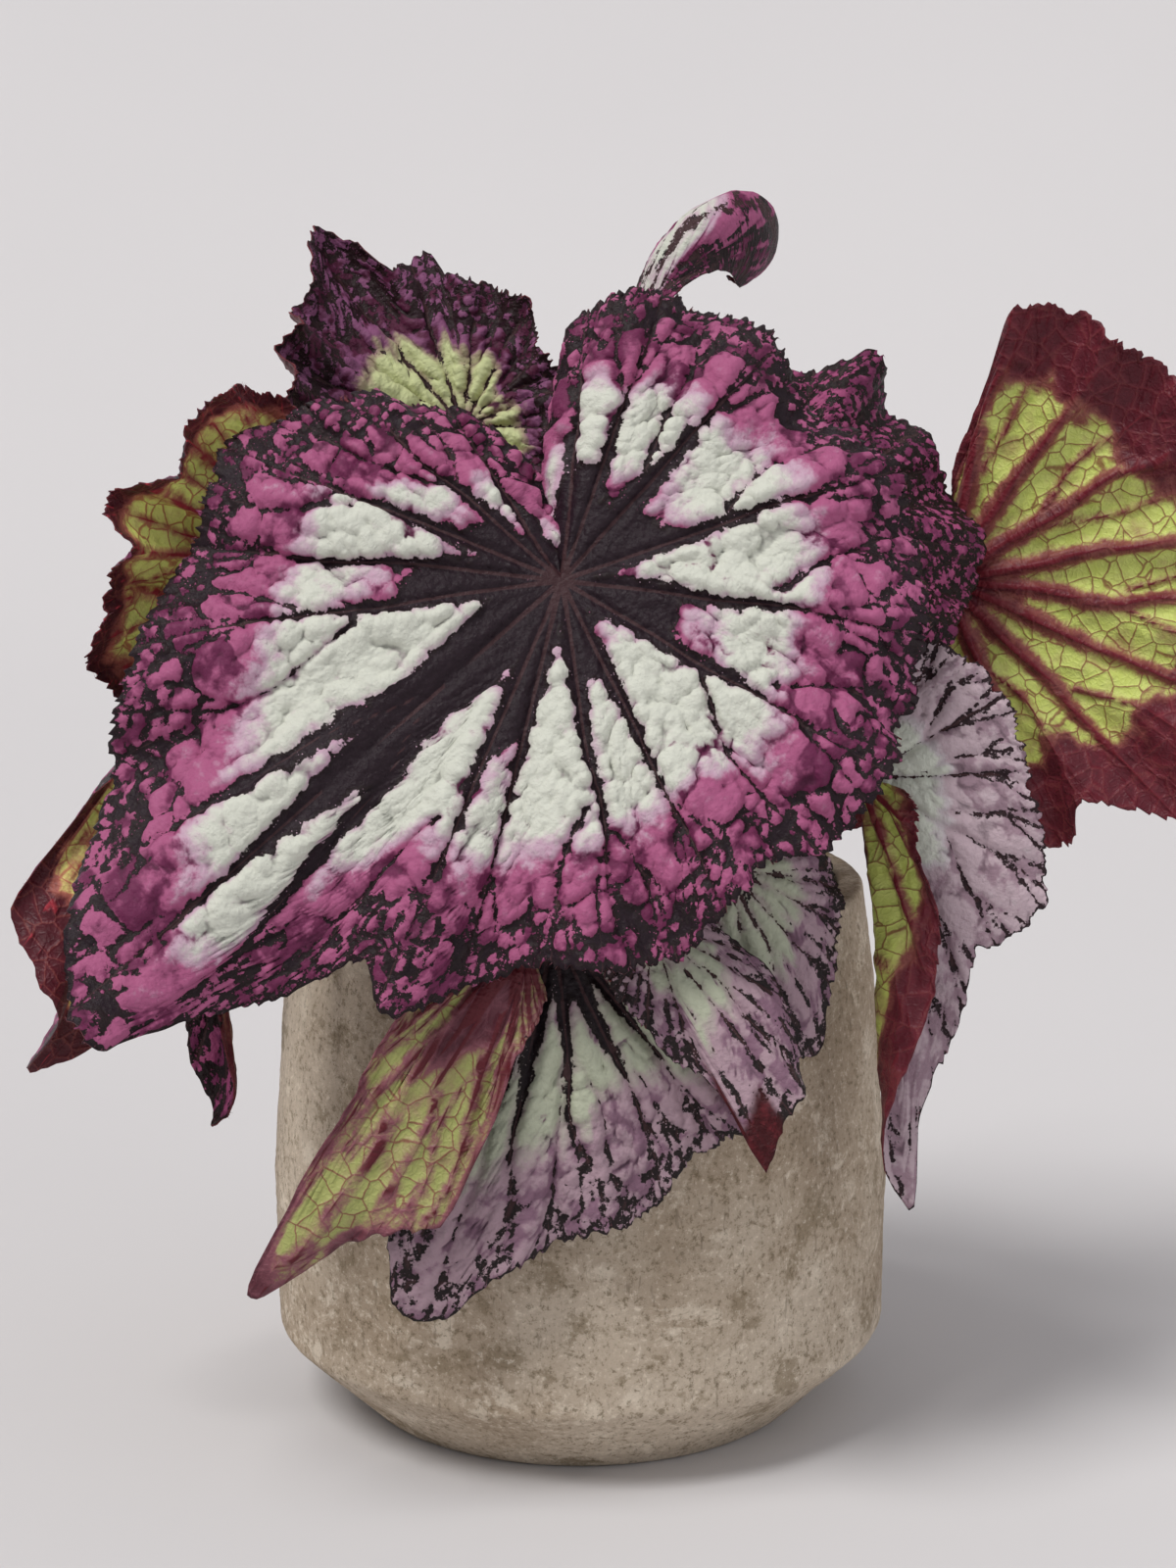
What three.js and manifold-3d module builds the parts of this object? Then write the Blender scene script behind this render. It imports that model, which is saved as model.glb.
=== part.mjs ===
// Potted rex begonia: a stone cachepot, a thin nursery pot with soil, a rhizome with its leaf stalks,
// and one waved, toothed blade for each leaf. Millimetres, +Z up, origin at the centre of the pot's foot.
import * as THREE from 'three';
import { mergeVertices } from 'three/addons/utils/BufferGeometryUtils.js';
import Module from 'manifold-3d';

const wasm = await Module();
wasm.setup();

// ---- driving dimensions -------------------------------------------------------------------------

const GAP = 0.3; // clearance between pieces that touch

// cachepot
const FOOT_RADIUS = 55;
const CHAMFER_TOP = 21; // height of the chamfer's upper edge
const CHAMFER_RADIUS = 77;
const BELLY_RADIUS = 77.5;
const BELLY_HEIGHT = 60;
const SHOULDER_RADIUS = 74.5;
const SHOULDER_HEIGHT = 105;
const RIM_RADIUS = 70.5;
const RIM_HEIGHT = 134.5;
const POT_WALL = 6;
const POT_FLOOR = 8;
const POT_SEGMENTS = 56;

// nursery pot
const NURSERY_RIM_RADIUS = 62;
const NURSERY_RIM_TOP = 137;
const NURSERY_LIP_DROP = 5;
const NURSERY_LIP_WIDTH = 3.5;
const NURSERY_FOOT_RADIUS = 48;
const NURSERY_WALL = 1.2;
const NURSERY_BOTTOM = POT_FLOOR + GAP;
const NURSERY_SEGMENTS = 48;

// soil
const SOIL_TOP = 122;
const SOIL_BUMP = 1.3; // height of the crumbs' waves
const SOIL_FLAT_RADIUS = 18; // level ground around the rhizome
const ROOT_HOLE_DEPTH = 15;

// rhizome and leaf stalks
const ROOT_RADIUS = 8;
const ROOT_SEGMENTS = 14;
const CROWN_RADIUS = 15;
const CROWN_HEIGHT = 13;
const STALK_FOOT_RADIUS = 2.6;
const STALK_TIP_RADIUS = 1.5;
const STALK_SIDES = 7;
const STALK_STEPS = 9;
const STALK_START = [0, 0, SOIL_TOP + 5];

// leaves
const BLADE_THICKNESS = 0.8;
const TOOTH_DEPTH = 0.9; // each second margin point stands out, the others in, by this
const FIRST_RING_RADIUS = 0.12; // first ring of points, as a share of the ray's length
const RAY_STEPS = 40; // steps in which a ray's bend is added up
const CURL_FROM = 0.62; // share of the ray at which the margin's own curl starts
const STALK_CLEARANCE = BLADE_THICKNESS / 2 + 0.9; // blade's middle surface to the stalk's flat end

// A leaf is a fan of rays that start where the stalk meets the blade.
//   base   that point
//   face   direction of the upper side: degrees from the front towards the right, and degrees up
//   turn   direction of the leaf's tip: degrees clockwise from straight up, as seen from the upper side
//   rays   [degrees from the tip, length, fold about the midrib, rise at the stalk, bend, curl at the margin]
//   wave   degrees by which the margin waves up and down, and wavelength in degrees
//   columns  steps round the fan, evenly spaced, chosen so that one meets a narrow tip's ray or comes close
//   stalk points that the leaf stalk passes on its way up from the rhizome
const LEAVES = [
  {
    name: 'leaf_front', base: [-4, -62, 219], face: [0, 22], turn: -136, wave: [5, 27],
    columns: 76, rings: 6,
    stalk: [[-1, -14, 152], [-2, -38, 195], [-4, -50, 214]],
    rays: [
      [-230, 39, 0, -16, 0, 0], [-220, 64, 0, 4, 10, 10], [-205, 73, 0, 10, 20, 20], [-185, 78, 0, 10, 20, 25],
      [-177, 73, 0, 8, 20, 20], [-165, 77, 0, 8, 20, 20], [-150, 84, 0, 10, 22, 20], [-130, 84, 0, 10, 22, 25],
      [-110, 86, 0, 8, 18, 15], [-93, 88, 0, 8, 14, 10], [-79, 81, 0, 8, 12, 5], [-66, 87, 0, 8, 12, 5],
      [-54, 91, 0, 8, 12, 5], [-42, 89, 0, 8, 12, 5], [-31, 95, 0, 8, 14, 5], [-22, 107, 0, 8, 16, 10],
      [-17, 99, 0, 8, 16, 10], [-11, 113, 0, 6, 14, 0], [-4, 132, 0, 6, 12, -20], [0, 152, 0, 6, 12, -40],
      [5, 145, 0, 6, 14, -20], [11, 134, 0, 8, 16, 0], [22, 115, 0, 8, 18, 10], [30, 107, 0, 9, 19, 10],
      [39, 97, 0, 10, 20, 10], [54, 86, 0, 10, 20, 15], [68, 85, 0, 10, 20, 15], [77, 77, 0, 10, 20, 20],
      [95, 61, 0, 8, 20, 20], [105, 49, 0, 2, 10, 10], [120, 33, 0, -14, 0, 0], [127, 27, 0, -16, 0, 0],
    ],
  },
  {
    name: 'leaf_cup', base: [-29, 10, 246], face: [0, 30], turn: -100, wave: [7, 24], columns: 48, rings: 5,
    stalk: [[-8, 5, 155], [-23, 19, 205], [-29, 20, 239]],
    rays: [
      [-100, 30, 0, 10, -20, 0], [-60, 34, 0, 10, -30, 0], [-20, 45, 0, 14, -34, -30],
      [5, 58, 0, 16, -40, -50], [25, 57, 0, 14, -42, -50], [45, 51, 0, 5, -20, -30],
      [63, 64, 0, 5, 0, -60], [70, 55, 0, 5, 0, -40], [76, 43, 0, 5, 0, -20], [83, 45, 0, 5, 0, 10],
      [89, 48, 0, 5, 0, 10], [94, 40, 0, 5, 0, 5], [115, 37, 0, 5, 0, -20], [126, 36, 0, 5, 0, -50],
      [135, 31, 0, 7, 0, -40], [153, 27, 0, 10, 0, -20], [185, 33, 0, 8, 0, 0], [205, 34, 0, 4, 0, 0],
      [226, 30, 0, 4, 0, 0],
    ],
  },
  {
    name: 'leaf_left', base: [-61, -16, 213], face: [-155, 8], turn: 148, wave: [7, 22],
    columns: 49, rings: 5,
    stalk: [[-12, -6, 152], [-38, -22, 190], [-56, -26, 210]],
    rays: [
      [-150, 26, 0, 0, 0, 0], [-130, 46, 0, 0, 0, 20], [-112, 63, 0, 0, 8, 60], [-106, 58, 0, 0, 10, 60],
      [-99, 59, 0, 0, 10, 60], [-93, 61, 0, 0, 10, 60], [-86, 64, 0, 0, 10, 40], [-78, 65, 0, 0, 10, 30],
      [-73, 61, 0, 0, 10, 60], [-66, 61, 0, 0, 10, 50], [-58, 60, 0, 0, 10, 60], [-47, 67, 0, 0, 10, 20],
      [-38, 61, 0, 0, 10, 60], [-26, 69, 0, 0, 10, 60], [-17, 82, 0, 0, 10, 20], [-13, 110, 0, 0, 8, 0],
      [-8, 119, 0, 0, 8, 0], [-4, 127, 0, 0, 8, 10], [0, 143, 0, 0, 6, -20], [4, 132, 0, 0, 8, 0],
      [10, 108, 0, 0, 8, 0], [30, 74, 0, 0, 10, 20], [60, 54, 0, 0, 10, 20], [95, 40, 0, 0, 0, 0],
    ],
  },
  {
    name: 'leaf_roll', base: [-85, -60, 126], face: [-40, 0], turn: 166, wave: [0, 30],
    columns: 16, rings: 4,
    stalk: [[-14, -10, 140], [-46, -32, 152], [-69, -48, 146], [-79, -56, 133]],
    rays: [
      [-95, 7, 50, 0, 0, 0], [-45, 13, 50, 0, 0, 0], [-20, 26, 50, 0, 0, 0], [0, 37, 0, 0, -20, -60],
      [20, 26, 50, 0, 0, 0], [45, 13, 50, 0, 0, 0], [95, 7, 50, 0, 0, 0],
    ],
  },
  {
    name: 'leaf_hook', base: [15, 14, 272], face: [-51, 14], turn: 12, wave: [0, 30], columns: 20, rings: 8,
    curlFrom: 0, stalk: [[4, 4, 170], [15, 18, 236], [22, 20, 266]],
    rays: [
      [-100, 6, 0, 0, 0, 20], [-50, 10, 0, 0, 0, 30], [-22, 40, 0, 0, 0, 120], [-10, 64, 0, 0, 0, 215],
      [0, 86, 0, 0, 0, 290], [6, 70, 0, 0, 0, 245], [11, 50, 0, 0, 0, 200], [17, 28, 0, 0, 0, 120],
      [40, 11, 0, 0, 0, 30], [100, 6, 0, 0, 0, 20],
    ],
  },
  {
    name: 'leaf_back_right', base: [42, -24, 223], face: [22, 28], turn: 60, wave: [6, 26],
    columns: 44, rings: 4,
    stalk: [[8, -4, 155], [28, -10, 195], [38, -14, 216]],
    rays: [
      [-120, 26, 0, 0, 0, 0], [-75, 41, 0, 6, 20, 10], [-45, 52, 0, 6, 20, 20], [-30, 50, 0, 6, 16, 0],
      [-17, 60, 0, 6, 16, -20], [0, 57, 0, 6, 18, 10], [18, 59, 0, 6, 18, 10], [33, 61, 0, 6, 18, 10],
      [48, 59, 0, 6, 18, 10], [61, 55, 0, 6, 18, 10], [79, 54, 0, 6, 18, 10], [95, 57, 0, 6, 18, 10],
      [125, 44, 0, 4, 16, 10], [160, 28, 0, 0, 0, 0],
    ],
  },
  {
    name: 'leaf_far_right', base: [91, 12, 208], face: [170, 0], turn: -95, wave: [4, 22],
    columns: 42, rings: 4,
    stalk: [[16, 2, 148], [52, -2, 180], [81, -2, 201], [89.5, 4, 207]],
    rays: [
      [-98, 14, 0, 0, 0, 0], [-76, 41, 0, 0, 0, 10], [-66, 68, 0, 0, 10, 10], [-58, 73, 0, 0, 10, 10],
      [-51, 66, 0, 0, 10, 10], [-44, 72, 0, 0, 10, 10], [-38, 84, 0, 0, 10, 10], [-22, 86, 0, 0, 10, 10],
      [0, 94, 0, 0, 10, -20], [22, 86, 0, 0, 10, 10], [50, 76, 0, 0, 10, 20], [71, 74, 0, 0, 10, 20],
      [81, 72, 0, 0, 10, 10], [85, 46, 0, 0, 0, 0], [92, 26, 0, 0, 0, 0],
    ],
  },
  {
    name: 'leaf_fold', base: [66, -50, 171], face: [-12, 4], turn: 172, wave: [0, 20],
    columns: 46, rings: 5,
    stalk: [[14, -12, 142], [44, -28, 164], [64, -39, 171]],
    rays: [
      [-155, 34, 0, 0, 0, 0], [-135, 37, 0, 0, 0, 0], [-121, 38, 0, 0, 0, 0], [-100, 38, 0, 0, 6, 0],
      [-81, 40, 0, 0, 6, 0], [-60, 47, 0, 0, 6, 10], [-45, 51, 0, 0, 6, 0], [-28, 50, 0, 0, 6, 0],
      [-19, 58, 0, 0, 6, 0], [-9, 71, 0, 0, 4, 0], [-3, 82, 0, 0, 0, 0], [0, 104, 0, 0, 0, 0],
      [5, 84, 70, 0, 0, 0], [10, 68, 115, 0, 0, 0], [18, 53, 140, 0, 0, 0], [32, 36, 145, 0, 0, 0],
      [43, 22, 145, 0, 0, 0], [75, 14, 145, 0, 0, 0],
    ],
  },
  {
    name: 'leaf_low', base: [-6, -80, 143], face: [-3, 10], turn: -160, wave: [2, 17],
    columns: 44, rings: 4,
    stalk: [[-1, -24, 142], [-4, -52, 148], [-6, -69, 142]],
    rays: [
      [-115, 14, 0, 0, 0, 0], [-95, 32, 0, 0, 10, 10], [-74, 63, 0, 0, 10, 10], [-66, 67, 0, 0, 10, 10],
      [-52, 64, 0, 0, 10, 10], [-36, 71, 0, 0, 10, 0], [-20, 75, 0, 0, 8, 0], [-9, 87, 0, 0, 6, 0],
      [-5, 96, 0, 0, 6, 0], [1, 99, 0, 0, 6, 0], [5, 90, 0, 0, 6, 0], [12, 66, 0, 0, 6, 0],
      [30, 40, 0, 0, 6, 0], [58, 15, 0, 0, 6, 0],
    ],
  },
  {
    name: 'leaf_low_left', base: [-12, -86, 140], face: [180, -8], turn: 142, wave: [0, 20],
    columns: 39, rings: 5,
    stalk: [[-6, -24, 144], [-10, -54, 154], [-11, -77, 150]], stalkOnUpperSide: true,
    rays: [
      [-70, 10, 0, 0, 0, 0], [-34, 24, 0, 0, 0, 40], [-12, 50, 0, 0, 0, 20], [-4, 80, 0, 0, 0, 0],
      [0, 104, 0, 0, 0, 0], [7, 83, 0, 0, 0, -30], [14, 73, 0, 0, 0, 0], [21, 68, 0, 0, 0, 0],
      [26, 48, 0, 0, 0, 60], [32, 26, 0, 0, 0, 60], [60, 12, 0, 0, 0, 0],
    ],
  },
  {
    name: 'leaf_curl', base: [16, -84, 144], face: [10, 28], turn: 135, wave: [0, 20],
    columns: 30, rings: 6,
    stalk: [[4, -24, 146], [8, -54, 153], [11, -75, 149]],
    rays: [
      [-62, 12, -10, 0, 0, 0], [-43, 16, -14, 0, 0, 0], [-30, 25, -16, 0, 0, 0], [-21, 32, -16, 0, 0, 10],
      [-13, 38, -14, 0, 0, 20], [-6, 42, -8, 0, 0, 30], [2, 50, 0, 0, 8, 20], [7, 53, -10, 0, 0, 0],
      [14, 54, -14, 0, 0, 0], [21, 60, -14, 0, 0, 0], [24, 62, -14, 0, 0, 0], [26, 44, -20, 0, 0, 0],
      [30, 37, -24, 0, 0, 0], [40, 31, -24, 0, 0, 0], [54, 22, -20, 0, 0, 0], [80, 17, -16, 0, 0, 0],
      [110, 12, -10, 0, 0, 0],
    ],
  },
  {
    name: 'leaf_low_right', base: [34, -71, 154], face: [12, 14], turn: 156, wave: [4, 26],
    columns: 30, rings: 4,
    stalk: [[9, -20, 144], [23, -46, 155], [31, -61, 152]],
    rays: [
      [-120, 14, 0, 0, 0, 0], [-93, 20, 0, 0, 10, 10], [-66, 26, 0, 0, 10, 10], [-38, 31, 0, 0, 10, 10],
      [-17, 37, 0, 0, 10, 0], [0, 49, 0, 0, 10, 0], [20, 36, 0, 0, 10, 0], [60, 18, 0, 0, 10, 0],
      [95, 10, 0, 0, 0, 0],
    ],
  },
  {
    name: 'leaf_rear_left', base: [-36, 50, 197], face: [-148, 40], turn: 145, wave: [6, 27],
    columns: 40, rings: 4,
    stalk: [[-8, 12, 145], [-23, 32, 175], [-31, 43, 190]],
    rays: [
      [-150, 28, 0, 0, 0, 0], [-120, 42, 0, 6, 20, 10], [-80, 54, 0, 6, 24, 10], [-40, 66, 0, 6, 24, 10],
      [0, 88, 0, 6, 24, 10], [40, 66, 0, 6, 24, 10], [80, 58, 0, 6, 24, 10], [120, 44, 0, 6, 20, 10],
      [150, 28, 0, 0, 0, 0],
    ],
  },
  {
    name: 'leaf_rear_right', base: [40, 50, 190], face: [146, 34], turn: -140, wave: [6, 27],
    columns: 40, rings: 4,
    stalk: [[8, 13, 142], [25, 32, 170], [35, 43, 183]],
    rays: [
      [-150, 36, 0, 0, 0, 0], [-120, 48, 0, 6, 20, 10], [-80, 54, 0, 6, 24, 10], [-40, 60, 0, 6, 24, 10],
      [0, 80, 0, 6, 24, 10], [40, 60, 0, 6, 24, 10], [80, 54, 0, 6, 24, 10], [120, 46, 0, 6, 20, 10],
      [150, 34, 0, 0, 0, 0],
    ],
  },
];

// ---- materials ----------------------------------------------------------------------------------

const stone = new THREE.MeshStandardMaterial({ color: '#a99a86', roughness: 0.9 });
const greyPlastic = new THREE.MeshStandardMaterial({ color: '#8d908c', roughness: 0.5 });
const soilMix = new THREE.MeshStandardMaterial({ color: '#2d211a', roughness: 1 });
const redStalk = new THREE.MeshStandardMaterial({ color: '#8c3038', roughness: 0.55 });
const plumLeaf = new THREE.MeshStandardMaterial({ color: '#8a4a78', roughness: 0.6 });
const redLeaf = new THREE.MeshStandardMaterial({ color: '#7a2436', roughness: 0.6 });
const silverLeaf = new THREE.MeshStandardMaterial({ color: '#b3b9ac', roughness: 0.6 });
const leafMaterials = {
  leaf_left: redLeaf, leaf_far_right: redLeaf, leaf_low_left: redLeaf,
  leaf_fold: silverLeaf, leaf_low: silverLeaf, leaf_low_right: silverLeaf,
};

// ---- small helpers ------------------------------------------------------------------------------

const radians = THREE.MathUtils.degToRad;
const vector = (list) => new THREE.Vector3(...list);

// a closed mesh as a solid for the booleans
function solidOf(geometry) {
  const bare = geometry.clone();
  bare.deleteAttribute('normal');
  bare.deleteAttribute('uv');
  const merged = mergeVertices(bare, 1e-4);
  return new wasm.Manifold(new wasm.Mesh({
    numProp: 3,
    vertProperties: new Float32Array(merged.attributes.position.array),
    triVerts: new Uint32Array(merged.index.array),
  }));
}

function geometryOf(solid) {
  const mesh = solid.getMesh();
  const geometry = new THREE.BufferGeometry();
  geometry.setAttribute('position', new THREE.BufferAttribute(mesh.vertProperties, 3));
  geometry.setIndex(new THREE.BufferAttribute(mesh.triVerts, 1));
  geometry.computeVertexNormals();
  return geometry;
}

// a profile of [radius, height] points turned about the Z axis
function turned(profile, segments) {
  const points = profile.map(([radius, height]) => new THREE.Vector2(radius, height));
  const geometry = new THREE.LatheGeometry(points, segments);
  geometry.rotateX(Math.PI / 2);
  return geometry;
}

// value at x of the smooth curve through the points (xs, ys) that never overshoots them
function smoothCurve(xs, ys, x) {
  const last = xs.length - 1;
  const slopes = [];
  for (let i = 0; i < last; i += 1) slopes.push((ys[i + 1] - ys[i]) / (xs[i + 1] - xs[i]));
  const tangents = xs.map((_, i) => {
    if (i === 0) return slopes[0];
    if (i === last) return slopes[last - 1];
    const product = slopes[i - 1] * slopes[i];
    return product <= 0 ? 0 : (2 * product) / (slopes[i - 1] + slopes[i]);
  });
  let k = 0;
  while (k < last - 1 && x >= xs[k + 1]) k += 1;
  const width = xs[k + 1] - xs[k];
  const t = (x - xs[k]) / width;
  const rest = 1 - t;
  return rest * rest * (1 + 2 * t) * ys[k] + t * rest * rest * width * tangents[k]
    + t * t * (3 - 2 * t) * ys[k + 1] - t * t * rest * width * tangents[k + 1];
}

// ---- pots and soil ------------------------------------------------------------------------------

function makePot() {
  const innerRim = RIM_RADIUS - POT_WALL;
  const innerBelly = BELLY_RADIUS - POT_WALL - 1;
  const innerFoot = FOOT_RADIUS - 1;
  return turned([
    [0, 0], [FOOT_RADIUS, 0], [CHAMFER_RADIUS, CHAMFER_TOP], [BELLY_RADIUS, BELLY_HEIGHT],
    [SHOULDER_RADIUS, SHOULDER_HEIGHT], [RIM_RADIUS + 0.6, RIM_HEIGHT - 1.5], [RIM_RADIUS - 0.8, RIM_HEIGHT],
    [innerRim + 0.8, RIM_HEIGHT], [innerRim, RIM_HEIGHT - 1.5], [innerRim + 2.5, SHOULDER_HEIGHT],
    [innerBelly, BELLY_HEIGHT], [innerBelly - 2, CHAMFER_TOP + 4], [innerFoot, POT_FLOOR], [0, POT_FLOOR],
  ], POT_SEGMENTS);
}

// radius of the nursery pot's outside at a height
function nurseryRadius(height) {
  const top = NURSERY_RIM_TOP - NURSERY_LIP_DROP;
  const share = (height - NURSERY_BOTTOM) / (top - NURSERY_BOTTOM);
  return THREE.MathUtils.lerp(NURSERY_FOOT_RADIUS, NURSERY_RIM_RADIUS - NURSERY_LIP_WIDTH, share);
}

function makeNurseryPot() {
  const lipBottom = NURSERY_RIM_TOP - NURSERY_LIP_DROP;
  const floorTop = NURSERY_BOTTOM + NURSERY_WALL;
  return turned([
    [0, NURSERY_BOTTOM], [NURSERY_FOOT_RADIUS, NURSERY_BOTTOM], [nurseryRadius(lipBottom), lipBottom],
    [NURSERY_RIM_RADIUS, lipBottom], [NURSERY_RIM_RADIUS, NURSERY_RIM_TOP - 0.6],
    [NURSERY_RIM_RADIUS - 0.6, NURSERY_RIM_TOP],
    [nurseryRadius(lipBottom) - NURSERY_WALL + 0.4, NURSERY_RIM_TOP],
    [nurseryRadius(lipBottom) - NURSERY_WALL, NURSERY_RIM_TOP - 0.8],
    [nurseryRadius(floorTop) - NURSERY_WALL, floorTop], [0, floorTop],
  ], NURSERY_SEGMENTS);
}

function makeSoil() {
  const floor = NURSERY_BOTTOM + NURSERY_WALL + GAP;
  const wallRadius = (height) => nurseryRadius(height) - NURSERY_WALL - GAP - 0.3;
  const ringRadii = [50, 42, 34, 26, SOIL_FLAT_RADIUS];
  const geometry = turned([
    [0, floor], [wallRadius(floor), floor], [wallRadius(SOIL_TOP), SOIL_TOP],
    ...ringRadii.map((radius) => [radius, SOIL_TOP]), [0, SOIL_TOP],
  ], NURSERY_SEGMENTS);
  const position = geometry.attributes.position;
  for (let i = 0; i < position.count; i += 1) {
    const x = position.getX(i);
    const y = position.getY(i);
    const radius = Math.hypot(x, y);
    const isTop = position.getZ(i) > SOIL_TOP - 0.01;
    if (isTop && radius > SOIL_FLAT_RADIUS + 1 && radius < 51) {
      position.setZ(i, SOIL_TOP + SOIL_BUMP * Math.sin(0.41 * x + 1) * Math.cos(0.37 * y));
    }
  }
  const hole = turned([
    [0, SOIL_TOP - ROOT_HOLE_DEPTH], [ROOT_RADIUS + GAP, SOIL_TOP - ROOT_HOLE_DEPTH],
    [ROOT_RADIUS + GAP, SOIL_TOP + 5], [0, SOIL_TOP + 5],
  ], ROOT_SEGMENTS);
  return geometryOf(solidOf(geometry).subtract(solidOf(hole)));
}

// ---- leaf blades --------------------------------------------------------------------------------

// the leaf's own axes: tip direction, the direction clockwise from it, and the upper side's normal
function leafAxes(leaf) {
  const azimuth = radians(leaf.face[0]);
  const elevation = radians(leaf.face[1]);
  const turn = radians(leaf.turn);
  const normal = new THREE.Vector3(
    Math.sin(azimuth) * Math.cos(elevation), -Math.cos(azimuth) * Math.cos(elevation), Math.sin(elevation));
  const right = new THREE.Vector3(Math.cos(azimuth), Math.sin(azimuth), 0);
  const up = new THREE.Vector3().crossVectors(normal, right);
  const tip = up.clone().multiplyScalar(Math.cos(turn)).addScaledVector(right, Math.sin(turn));
  const side = right.clone().multiplyScalar(Math.cos(turn)).addScaledVector(up, -Math.sin(turn));
  return { tip, side, normal };
}

// point of the blade's middle surface: degrees from the tip, and share of the way out to the margin
function bladePoint(leaf, axes, degrees, share, extraLength) {
  const angles = leaf.rays.map((ray) => ray[0]);
  const column = (k) => smoothCurve(angles, leaf.rays.map((ray) => ray[k]), degrees);
  const length = (column(1) + extraLength) * share;
  const fold = radians(column(2)) * Math.sign(degrees);
  const rise = radians(column(3));
  const bend = radians(column(4));
  const curl = radians(column(5));
  const wave = radians(leaf.wave[0]) * Math.sin((2 * Math.PI * degrees) / leaf.wave[1]);
  const curlFrom = leaf.curlFrom ?? CURL_FROM;
  let along = 0;
  let above = 0;
  for (let step = 0; step < RAY_STEPS; step += 1) {
    const t = (share * (step + 0.5)) / RAY_STEPS;
    const curled = Math.max(0, (t - curlFrom) / (1 - curlFrom));
    const pitch = rise + (wave - bend) * t - curl * curled * curled;
    along += (Math.cos(pitch) * length) / RAY_STEPS;
    above += (Math.sin(pitch) * length) / RAY_STEPS;
  }
  const foldedSide = axes.side.clone().multiplyScalar(Math.cos(fold));
  foldedSide.addScaledVector(axes.normal, Math.sin(fold));
  const foldedUp = axes.normal.clone().multiplyScalar(Math.cos(fold));
  foldedUp.addScaledVector(axes.side, -Math.sin(fold));
  const angle = radians(degrees);
  return vector(leaf.base)
    .addScaledVector(axes.tip, along * Math.cos(angle))
    .addScaledVector(foldedSide, along * Math.sin(angle))
    .addScaledVector(foldedUp, above);
}

// closed blade: the middle surface's triangles, alike on both faces, moved half the thickness each way
function makeBlade(leaf) {
  const axes = leafAxes(leaf);
  const first = leaf.rays[0][0];
  const last = leaf.rays[leaf.rays.length - 1][0];
  const middle = [vector(leaf.base)];
  for (let c = 0; c <= leaf.columns; c += 1) {
    const degrees = THREE.MathUtils.lerp(first, last, c / leaf.columns);
    const tooth = c % 2 === 1 ? TOOTH_DEPTH : -TOOTH_DEPTH;
    for (let r = 1; r <= leaf.rings; r += 1) {
      const share = THREE.MathUtils.lerp(FIRST_RING_RADIUS, 1, (r - 1) / (leaf.rings - 1));
      middle.push(bladePoint(leaf, axes, degrees, share, r === leaf.rings ? tooth : 0));
    }
  }
  const at = (c, r) => 1 + c * leaf.rings + (r - 1);
  const triangles = [];
  for (let c = 0; c < leaf.columns; c += 1) {
    triangles.push([0, at(c + 1, 1), at(c, 1)]);
    for (let r = 1; r < leaf.rings; r += 1) {
      const corners = [at(c, r), at(c + 1, r), at(c + 1, r + 1), at(c, r + 1)];
      triangles.push([corners[0], corners[1], corners[2]], [corners[0], corners[2], corners[3]]);
    }
  }
  const border = [0];
  for (let r = 1; r <= leaf.rings; r += 1) border.push(at(0, r));
  for (let c = 1; c <= leaf.columns; c += 1) border.push(at(c, leaf.rings));
  for (let r = leaf.rings - 1; r >= 1; r -= 1) border.push(at(leaf.columns, r));

  const normals = middle.map(() => new THREE.Vector3());
  for (const [a, b, c] of triangles) {
    const ab = middle[b].clone().sub(middle[a]);
    const ac = middle[c].clone().sub(middle[a]);
    const areaNormal = ab.cross(ac).normalize();
    for (const index of [a, b, c]) normals[index].add(areaNormal);
  }
  const count = middle.length;
  const positions = [];
  for (const side of [1, -1]) {
    for (let i = 0; i < count; i += 1) {
      const offset = normals[i].clone().normalize().multiplyScalar((side * BLADE_THICKNESS) / 2);
      const point = middle[i].clone().add(offset);
      positions.push(point.x, point.y, point.z);
    }
  }
  const index = [];
  for (const [a, b, c] of triangles) index.push(a, b, c, count + a, count + c, count + b);
  for (let i = 0; i < border.length; i += 1) {
    const here = border[i];
    const next = border[(i + 1) % border.length];
    index.push(here, next, count + here, next, count + next, count + here);
  }
  const geometry = new THREE.BufferGeometry();
  geometry.setAttribute('position', new THREE.Float32BufferAttribute(positions, 3));
  geometry.setIndex(index);
  geometry.computeVertexNormals();
  return geometry;
}

// ---- rhizome and stalks -------------------------------------------------------------------------

function makeRhizome() {
  const bottom = SOIL_TOP - ROOT_HOLE_DEPTH + GAP;
  const seat = SOIL_TOP + GAP;
  return turned([
    [0, bottom], [ROOT_RADIUS, bottom], [ROOT_RADIUS, seat], [CROWN_RADIUS - 1, seat],
    [CROWN_RADIUS, seat + CROWN_HEIGHT * 0.3], [CROWN_RADIUS * 0.85, seat + CROWN_HEIGHT * 0.7],
    [CROWN_RADIUS * 0.5, seat + CROWN_HEIGHT * 0.95], [0, seat + CROWN_HEIGHT],
  ], ROOT_SEGMENTS);
}

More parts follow.
